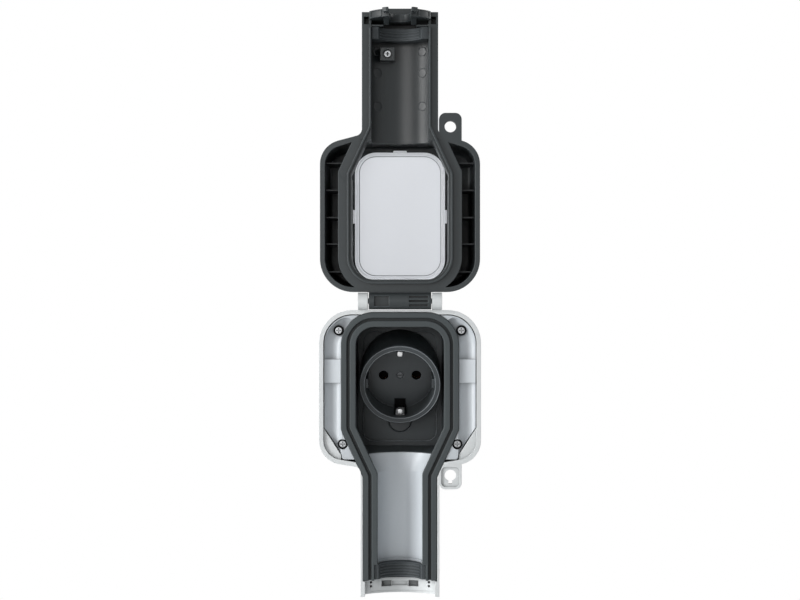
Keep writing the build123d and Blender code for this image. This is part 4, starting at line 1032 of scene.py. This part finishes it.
@dataclass
class SubAssembly:
    """A group of CAD nodes on one body, with their finishes.

    Places are in millimetres: x to the right of the middle, v away from the hinge, and w behind the
    parting plane.
    """

    shop: PieceShop
    body: str = "base"
    finishes: dict[str, Finish] = field(default_factory=dict)
    parting_y: float = -76.0
    hinge_z: float = 43.0
    downward: float = 1.0
    saddle_r: float = 13.35
    saddle_axis: float = -4.85
    seal_rows: tuple[float, ...] = ()
    seal_lip: tuple[float, float] = (0.8, 0.45)
    seal_reach: float = 57.0

    def height(self, v: float) -> float:
        """Height of a spot at distance v from the hinge."""
        return self.hinge_z - self.downward * v

    def facing(self, x: float, v: float, w: float) -> Matrix:
        """Place behind the parting plane, with Z towards the viewer."""
        spot = Matrix.Translation((x, self.parting_y + w, self.height(v)))
        return spot @ Matrix.Rotation(math.radians(90), 4, "X")

    def upright(self, v: float, w: float) -> Matrix:
        """Place in the middle plane, with Z up and X to the right."""
        return Matrix.Translation((0.0, self.parting_y + w, self.height(v)))

    def add(self, name: str, shapes: Iterable[tuple[bmesh.types.BMesh, Matrix]], finish: Finish) -> None:
        """Puts shapes in their places and makes them one piece on the group's body."""
        placed = [Former.placed(mesh, place) for mesh, place in shapes]
        self.shop.piece(name, Former.gather(placed), self.body, finish)

    def seal_lips(self, name: str) -> None:
        """Makes fine lips across the group's cable seal.

        Args:
            name: name of the piece.
        """
        width, height = self.seal_lip
        inner, outer = self.saddle_r - height, self.saddle_r + height
        start = TO_WALL - self.seal_reach
        lips = []
        for v in self.seal_rows:
            lip = Former.rib(inner, outer, width, start, 2 * self.seal_reach, height * Former.lip_share)
            lips.append((lip, self.upright(v, self.saddle_axis)))
        self.add(name, lips, SEAL_RUBBER)

    def dress(self) -> None:
        """Gives every CAD node of the group its finish."""
        for node_name, finish in self.finishes.items():
            self.shop.dress(node_name, finish)

    def build(self) -> None:
        """Adds the group's own moulded details."""


@dataclass
class BaseHousing(SubAssembly):
    """Rear housing, front frame and the rubber that seals them."""

    finishes: dict[str, Finish] = field(
        default_factory=lambda: {
            "rear_housing": PALE_SHELL,
            "front_frame": PALE_FRAME,
            "frame_screws": ZINC,
            "base_gasket": GASKET_RUBBER,
            "lower_cable_seal": SEAL_RUBBER,
            "hinge_pin": ZINC,
        }
    )
    seal_rows: tuple[float, ...] = (147.7, 149.3, 150.9, 152.5, 154.0)
    screw_spots: tuple[tuple[float, float], ...] = ((34.2, 16.4), (31.9, 79.7))
    screw_seat: float = 4.15
    screw_ring: tuple[float, float] = (2.15, 2.78)
    screw_ring_height: float = 2.0
    rear_w: float = 58.0
    collar_ring: tuple[float, float] = (18.9, 20.9)
    collar_proud: float = 0.45
    ring_round: float = 0.2

    def behind(self, x: float, v: float) -> Matrix:
        """Place on the back wall, with Z away from the viewer."""
        spot = Matrix.Translation((x, self.parting_y + self.rear_w, self.height(v)))
        return spot @ Matrix.Rotation(math.radians(-90), 4, "X")

    def plug_collar(self) -> None:
        """Collar moulded round the foot of the plug."""
        sink = -self.collar_proud / 2
        collar = Former.ring(*self.collar_ring, sink, self.collar_proud, self.ring_round)
        self.add("plug_collar", [(collar, self.behind(0.0, self.hinge_z))], PALE_SHELL)

    def screw_seals(self) -> None:
        """Rubber rings that seal the sunk frame screws, near black as painted shade in the deep screw wells.
        """
        rings = []
        for x, v in self.screw_spots:
            for side in (-1, 1):
                ring = Former.ring(*self.screw_ring, 0.0, self.screw_ring_height, self.ring_round)
                rings.append((ring, self.facing(side * x, v, self.screw_seat)))
        self.add("screw_seals", rings, RING_RUBBER_AND_SHADE)

    def build(self) -> None:
        """Adds the plug collar and the rubber details."""
        self.plug_collar()
        self.screw_seals()
        self.seal_lips("lower_seal_lips")


@dataclass
class Outlet(SubAssembly):
    """Tub, tilted socket and power button."""

    finishes: dict[str, Finish] = field(
        default_factory=lambda: {
            "socket_tray": TUB_BLACK,
            "socket_body": OUTLET_GREY,
            "earth_bracket": BRIGHT_SPRING,
            "socket_contacts": COPPER,
            "socket_screw": DARK_STEEL,
            "power_button": OUTLET_GREY,
            "button_switch": BLACK_PART,
        }
    )
    tilt: float = 15.0
    floor_w: float = 33.1
    floor_thick: float = 2.4
    recess_r: float = 19.75
    recess_depth: float = 17.5
    pin_x: float = 9.5
    sleeve_ring: tuple[float, float] = (2.5, 2.77)
    sleeve_sink: float = 0.05
    sleeve_round: float = 0.08
    stop_r: float = 2.8
    stop_depth: tuple[float, float] = (-6.6, -6.0)
    stop_round: float = 0.1
    rim_rings: tuple[tuple[float, float], ...] = ((20.1, 20.5), (22.45, 22.85))
    bead_sink: float = 0.25
    bead_proud: float = 0.1
    bead_round: float = 0.08
    clip_half: float = 2.6
    well_half: float = 3.25
    well_reach: float = 5.6
    well_gap: float = 0.3
    well_plate: tuple[float, float] = (0.02, 0.35)
    plate_round: float = 0.1
    cheek_reach: float = 1.9
    cheek_slip: float = 0.05
    cheek_height: float = 12.6
    cheek_round: float = 0.15
    nose_half: float = 1.5
    nose_reach: tuple[float, float] = (15.7, 18.7)
    nose_height: tuple[float, float] = (12.4, 14.6)
    nose_round: float = 0.7
    tub_w: float = 42.0
    lip_half: float = 21.5
    lip_end: float = 82.0
    lip_corner: float = 6.0
    lip_side: float = 14.0
    lip_size: tuple[float, float] = (0.6, 0.8)

    def seat(self, x: float = 0.0, y: float = 0.0) -> Matrix:
        """Place on the tilted floor of the outlet, with Z out of it.

        Args:
            x: distance to the right.
            y: distance up the floor.

        Returns:
            The place as a matrix, in millimetres.
        """
        middle = Matrix.Translation((0.0, self.parting_y + self.floor_w, 0.0))
        turned = middle @ Matrix.Rotation(math.radians(90 + self.tilt), 4, "X")
        return turned @ Matrix.Translation((x, y, 0.0))

    def pin_holes(self) -> None:
        """Black insulating sleeves in the two pin holes, and black stops behind them: closed contact
        bottoms, also painted shade deep in the holes.
        """
        sleeves, stops = [], []
        for side in (-1, 1):
            hole = self.seat(side * self.pin_x)
            sleeve = Former.ring(*self.sleeve_ring, -self.floor_thick, -self.sleeve_sink, self.sleeve_round)
            sleeves.append((sleeve, hole))
            stops.append((Former.disc(self.stop_r, *self.stop_depth, self.stop_round), hole))
        self.add("pin_sleeves", sleeves, BLACK_AND_SHADE)
        # The black stops are painted shade at the bottom of the pin holes
        self.add("pin_stops_painted_shade", stops, BLACK_AND_SHADE)

    def rim_highlight_beads(self) -> None:
        """Fine beads on the two edges of the outlet's rim, lighter than the outlet: a painted highlight
        along the rim's edges.
        """
        low, high = self.recess_depth - self.bead_sink, self.recess_depth + self.bead_proud
        rings = [Former.ring(inner, outer, low, high, self.bead_round) for inner, outer in self.rim_rings]
        self.add("rim_highlight_beads", [(ring, self.seat()) for ring in rings], RIM_HIGHLIGHT)

    def clip_shade_wells(self) -> None:
        """Black inserts under and beside the two earth clips: insulating inserts that are also painted shade
        in the clips' slots.
        """
        bottom, top = self.well_plate
        blocks = []
        for side in (-1, 1):
            edge = side * (self.recess_r - self.well_gap)
            low, high = sorted((edge, side * (self.recess_r - self.well_reach)))
            near, far = (-self.well_half, low, bottom), (self.well_half, high, top)
            blocks.append(Former.block(near, far, self.plate_round))
            low, high = sorted((edge, side * (self.recess_r - self.cheek_reach)))
            for hand in (-1, 1):
                left, right = sorted((hand * (self.clip_half + self.cheek_slip), hand * self.well_half))
                near, far = (left, low, bottom), (right, high, self.cheek_height)
                blocks.append(Former.block(near, far, self.cheek_round))
        self.add("clip_shade_wells", [(block, self.seat()) for block in blocks], BLACK_AND_SHADE)

    def clip_noses(self) -> None:
        """Round noses that press the two earth clips on a plug."""
        bottom, top = self.nose_height
        noses = []
        for side in (-1, 1):
            low, high = sorted(side * reach for reach in self.nose_reach)
            near, far = (-self.nose_half, low, bottom), (self.nose_half, high, top)
            noses.append((Former.block(near, far, self.nose_round), self.seat()))
        self.add("clip_noses", noses, BRIGHT_SPRING)

    def tub_lip(self) -> None:
        """Lip round the lower half of the sunk field in the tub, lighter than the tub: a painted highlight
        along the field's edge.
        """
        thick, tall = (size / 2 for size in self.lip_size)
        soft = thick * Former.lip_share
        corner_x, corner_v = self.lip_half - self.lip_corner, self.lip_end - self.lip_corner
        inner, outer = self.lip_corner - thick, self.lip_corner + thick
        low = Former.block((-corner_x, -thick, -tall), (corner_x, thick, tall), soft)
        parts = [(low, self.facing(0.0, self.lip_end, self.tub_w))]
        for side, start in ((-1, 180.0), (1, 270.0)):
            bend = Former.rib(inner, outer, 2 * tall, start, 90.0, soft)
            parts.append((bend, self.facing(side * corner_x, corner_v, self.tub_w)))
            post = Former.block((-thick, 0.0, -tall), (thick, self.lip_side, tall), soft)
            parts.append((post, self.facing(side * self.lip_half, corner_v, self.tub_w)))
        self.add("tub_lip", parts, TUB_HIGHLIGHT)

    def build(self) -> None:
        """Adds the inserts, beads and lip of the outlet."""
        self.pin_holes()
        self.rim_highlight_beads()
        self.clip_shade_wells()
        self.clip_noses()
        self.tub_lip()


@dataclass
class WallPlug(SubAssembly):
    """Plug on the back and the electronics behind the tub."""

    finishes: dict[str, Finish] = field(
        default_factory=lambda: {
            "plug_body": OUTLET_GREY,
            "plug_pins": NICKEL,
            "plug_earth_strips": BRIGHT_SPRING,
            "control_board": LAMINATE,
            "board_screws": ZINC,
            "relay": BLACK_PART,
            "power_module": BLACK_PART,
            "radio_module": BRIGHT_SPRING,
            "filter_capacitor": BLACK_PART,
        }
    )


@dataclass
class Lid(SubAssembly):
    """Lid shell with its panel, cable seal and end latch."""

    body: str = "lid"
    finishes: dict[str, Finish] = field(
        default_factory=lambda: {
            "lid_shell": ANTHRACITE,
            "lid_panel": PALE_PANEL,
            "upper_cable_seal": SEAL_RUBBER,
            "end_latch": LATCH_BLACK,
            "clamp_screw": ZINC,
        }
    )
    downward: float = -1.0
    seal_rows: tuple[float, ...] = (147.2, 148.8, 150.4)
    panel_v: float = 48.65
    panel_w: float = 24.5
    line_half: tuple[float, float] = (23.5, 34.35)
    line_corner: float = 9.8
    line_width: float = 0.4
    line_step: tuple[float, float] = (-0.2, 0.03)
    line_round: float = 0.01
    bead_half: tuple[float, float] = (25.2, 36.05)
    bead_corner: float = 11.5
    bead_width: float = 0.8
    bead_step: tuple[float, float] = (-0.5, -0.12)
    bead_round: float = 0.1
    clamp_spot: tuple[float, float, float] = (-7.0, 139.0, 9.27)
    clamp_ring: tuple[float, float] = (1.1, 1.8)
    clamp_ring_height: float = 0.35
    clamp_round: float = 0.12
    cross_width: float = 0.5
    cross_height: float = 0.125
    cross_slip: float = 0.05
    cross_round: float = 0.03
    arch_r: float = 21.4
    arch_axis: float = 10.0
    arch_rows: tuple[float, float] = (156.6, 160.0)
    arch_lip: tuple[float, float] = (0.6, 0.35)
    arch_span: tuple[float, float] = (28.5, 49.0)
    arch_post: float = 1.6
    arch_round: float = 0.1

    def panel_border(self) -> None:
        """Fine line round the bevelled panel, and a bright bead round it: a painted highlight on the panel's
        edge.
        """
        front = self.facing(0.0, self.panel_v, self.panel_w)
        line = Former.border(
            self.line_half, self.line_corner, self.line_width, *self.line_step, self.line_round
        )
        self.add("panel_line", [(line, front)], PANEL_LINE)
        bead = Former.border(
            self.bead_half, self.bead_corner, self.bead_width, *self.bead_step, self.bead_round
        )
        self.add("panel_highlight_bead", [(bead, front)], PANEL_HIGHLIGHT)

    def clamp_head(self) -> None:
        """Raised rim on the head of the clamp screw, and a black cross on it: painted shade standing in for
        the cross recess.
        """
        head = self.facing(*self.clamp_spot)
        rim = Former.ring(*self.clamp_ring, 0.0, self.clamp_ring_height, self.clamp_round)
        self.add("clamp_screw_rim", [(rim, head)], ZINC)
        long, thin = self.clamp_ring[0] - self.cross_slip, self.cross_width / 2
        bars = []
        for x, y in ((long, thin), (thin, long)):
            bars.append((Former.block((-x, -y, 0.0), (x, y, self.cross_height), self.cross_round), head))
        # Black bars on the head: painted shade of a cross recess
        self.add("clamp_screw_cross_shade", bars, BLACK_AND_SHADE)

    def latch_frames(self) -> None:
        """Raised borders of the two shallow fields on the latch's arch."""
        width, proud = self.arch_lip
        inner, outer = self.arch_r - proud, self.arch_r + proud
        first, last = self.arch_span
        low, high = self.arch_rows
        lips = []
        for side in (-1, 1):
            start = TO_VIEWER + min(side * first, side * last)
            for v in self.arch_rows:
                lip = Former.rib(inner, outer, width, start, last - first, self.arch_round)
                lips.append((lip, self.upright(v, self.arch_axis)))
            for turn in self.arch_span:
                start = TO_VIEWER - self.arch_post / 2 + side * turn
                post = Former.rib(inner, outer, high - low, start, self.arch_post, self.arch_round)
                lips.append((post, self.upright((low + high) / 2, self.arch_axis)))
        self.add("latch_frames", lips, LATCH_BLACK)

    def build(self) -> None:
        """Adds the details of the panel, the neck and the latch."""
        self.panel_border()
        self.clamp_head()
        self.seal_lips("upper_seal_lips")
        self.latch_frames()


class Lamp(Enum):
    """Soft boxes: place in metres, width and height in metres, power in watts."""

    KEY = ((-1.25, -0.74, 0.25), (0.45, 1.1), 17.5)
    FRONT = ((-0.40, -1.30, 0.20), (0.6, 0.6), 4.2)
    SIDE = ((1.25, 0.10, 0.15), (0.4, 0.9), 8.0)
    REAR = ((-0.3, 1.2, 0.9), (1.2, 1.0), 4.0)


@dataclass
class Studio:
    """Plain pale floor, soft boxes and the camera of the photograph."""

    aim: tuple[float, float, float] = (0.0, -0.076, 0.0436)
    distance: float = 0.75
    lens_mm: float = 60.75
    floor_height: float = -0.36
    floor_reach: float = 0.95
    floor_sides: int = 64
    floor_tone: tuple[float, float, float, float] = (0.86, 0.86, 0.86, 1.0)
    floor_roughness: float = 0.9
    floor_glow: float = 0.45
    white: tuple[float, float, float, float] = (1.0, 1.0, 1.0, 1.0)
    sensor_mm: float = 36.0
    near_clip: float = 0.01
    ambient: float = 0.08

    @staticmethod
    def _seen(tree: bpy.types.NodeTree) -> bpy.types.NodeSocket:
        """Adds a switch for what the camera sees, directly, in gloss or through glass.

        Args:
            tree: tree that gets the nodes.

        Returns:
            A socket that is 1 for such rays.
        """
        path = tree.nodes.new("ShaderNodeLightPath")
        seen = path.outputs["Is Camera Ray"]
        for ray in ("Is Glossy Ray", "Is Transmission Ray"):
            either = tree.nodes.new("ShaderNodeMath")
            either.operation = "MAXIMUM"
            tree.links.new(seen, either.inputs[0])
            tree.links.new(path.outputs[ray], either.inputs[1])
            seen = either.outputs[0]
        return seen

    def floor(self) -> None:
        """Lays a pale floor that shows white to the camera and keeps a shadow."""
        mesh = bmesh.new()
        bmesh.ops.create_circle(mesh, cap_ends=True, segments=self.floor_sides, radius=self.floor_reach)
        bmesh.ops.translate(mesh, verts=mesh.verts, vec=(0, 0, self.floor_height))
        data = bpy.data.meshes.new("studio_floor")
        mesh.to_mesh(data)
        mesh.free()
        floor = bpy.data.objects.new("studio_floor", data)
        bpy.context.scene.collection.objects.link(floor)
        paint = bpy.data.materials.new("floor paper")
        paint.use_nodes = True
        tree = paint.node_tree
        shader = tree.nodes["Principled BSDF"]
        shader.inputs["Base Color"].default_value = self.floor_tone
        shader.inputs["Roughness"].default_value = self.floor_roughness
        shader.inputs["Emission Color"].default_value = self.white
        glow = tree.nodes.new("ShaderNodeMath")
        glow.operation = "MULTIPLY"
        glow.inputs[1].default_value = self.floor_glow
        tree.links.new(self._seen(tree), glow.inputs[0])
        tree.links.new(glow.outputs[0], shader.inputs["Emission Strength"])
        data.materials.append(paint)

    def world(self) -> None:
        """Soft white surround: full white to the camera and in gloss, weaker as light."""
        world = bpy.data.worlds.new("surround")
        bpy.context.scene.world = world
        world.use_nodes = True
        tree = world.node_tree
        sky = tree.nodes["Background"]
        sky.inputs["Color"].default_value = self.white
        sky.inputs["Strength"].default_value = self.ambient
        bright = tree.nodes.new("ShaderNodeBackground")
        bright.inputs["Color"].default_value = self.white
        bright.inputs["Strength"].default_value = 1.0
        mix = tree.nodes.new("ShaderNodeMixShader")
        tree.links.new(self._seen(tree), mix.inputs["Fac"])
        tree.links.new(sky.outputs[0], mix.inputs[1])
        tree.links.new(bright.outputs[0], mix.inputs[2])
        tree.links.new(mix.outputs[0], tree.nodes["World Output"].inputs["Surface"])

    def lamps(self) -> None:
        """Hangs the soft boxes, all aimed at the object."""
        for lamp in Lamp:
            place, size, power = lamp.value
            light = bpy.data.lights.new(f"softbox_{lamp.name.lower()}", "AREA")
            light.shape = "RECTANGLE"
            light.size, light.size_y = size
            light.energy = power
            box = bpy.data.objects.new(light.name, light)
            box.location = place
            box.rotation_euler = (Vector(self.aim) - Vector(place)).to_track_quat("-Z", "Y").to_euler()
            bpy.context.scene.collection.objects.link(box)

    def camera(self) -> None:
        """Sets the camera straight in front of the parting plane."""
        data = bpy.data.cameras.new("front_camera")
        data.lens = self.lens_mm
        data.sensor_width = self.sensor_mm
        data.clip_start = self.near_clip
        camera = bpy.data.objects.new("front_camera", data)
        camera.location = Vector(self.aim) - Vector((0, self.distance, 0))
        camera.rotation_euler = (math.radians(90), 0, 0)
        bpy.context.scene.collection.objects.link(camera)
        bpy.context.scene.camera = camera

    def build(self) -> None:
        """Builds the whole studio."""
        bpy.context.scene.view_settings.view_transform = "Standard"
        self.floor()
        self.world()
        self.lamps()
        self.camera()


def main() -> None:
    """Builds the studio, then each sub-assembly."""
    logging.basicConfig(level=logging.INFO, format="%(name)s: %(message)s")
    Studio().build()
    shop = PieceShop(ShaderKit())
    for part in (BaseHousing(shop), Outlet(shop), WallPlug(shop), Lid(shop)):
        part.dress()
        part.build()


if __name__ == "__main__":
    main()
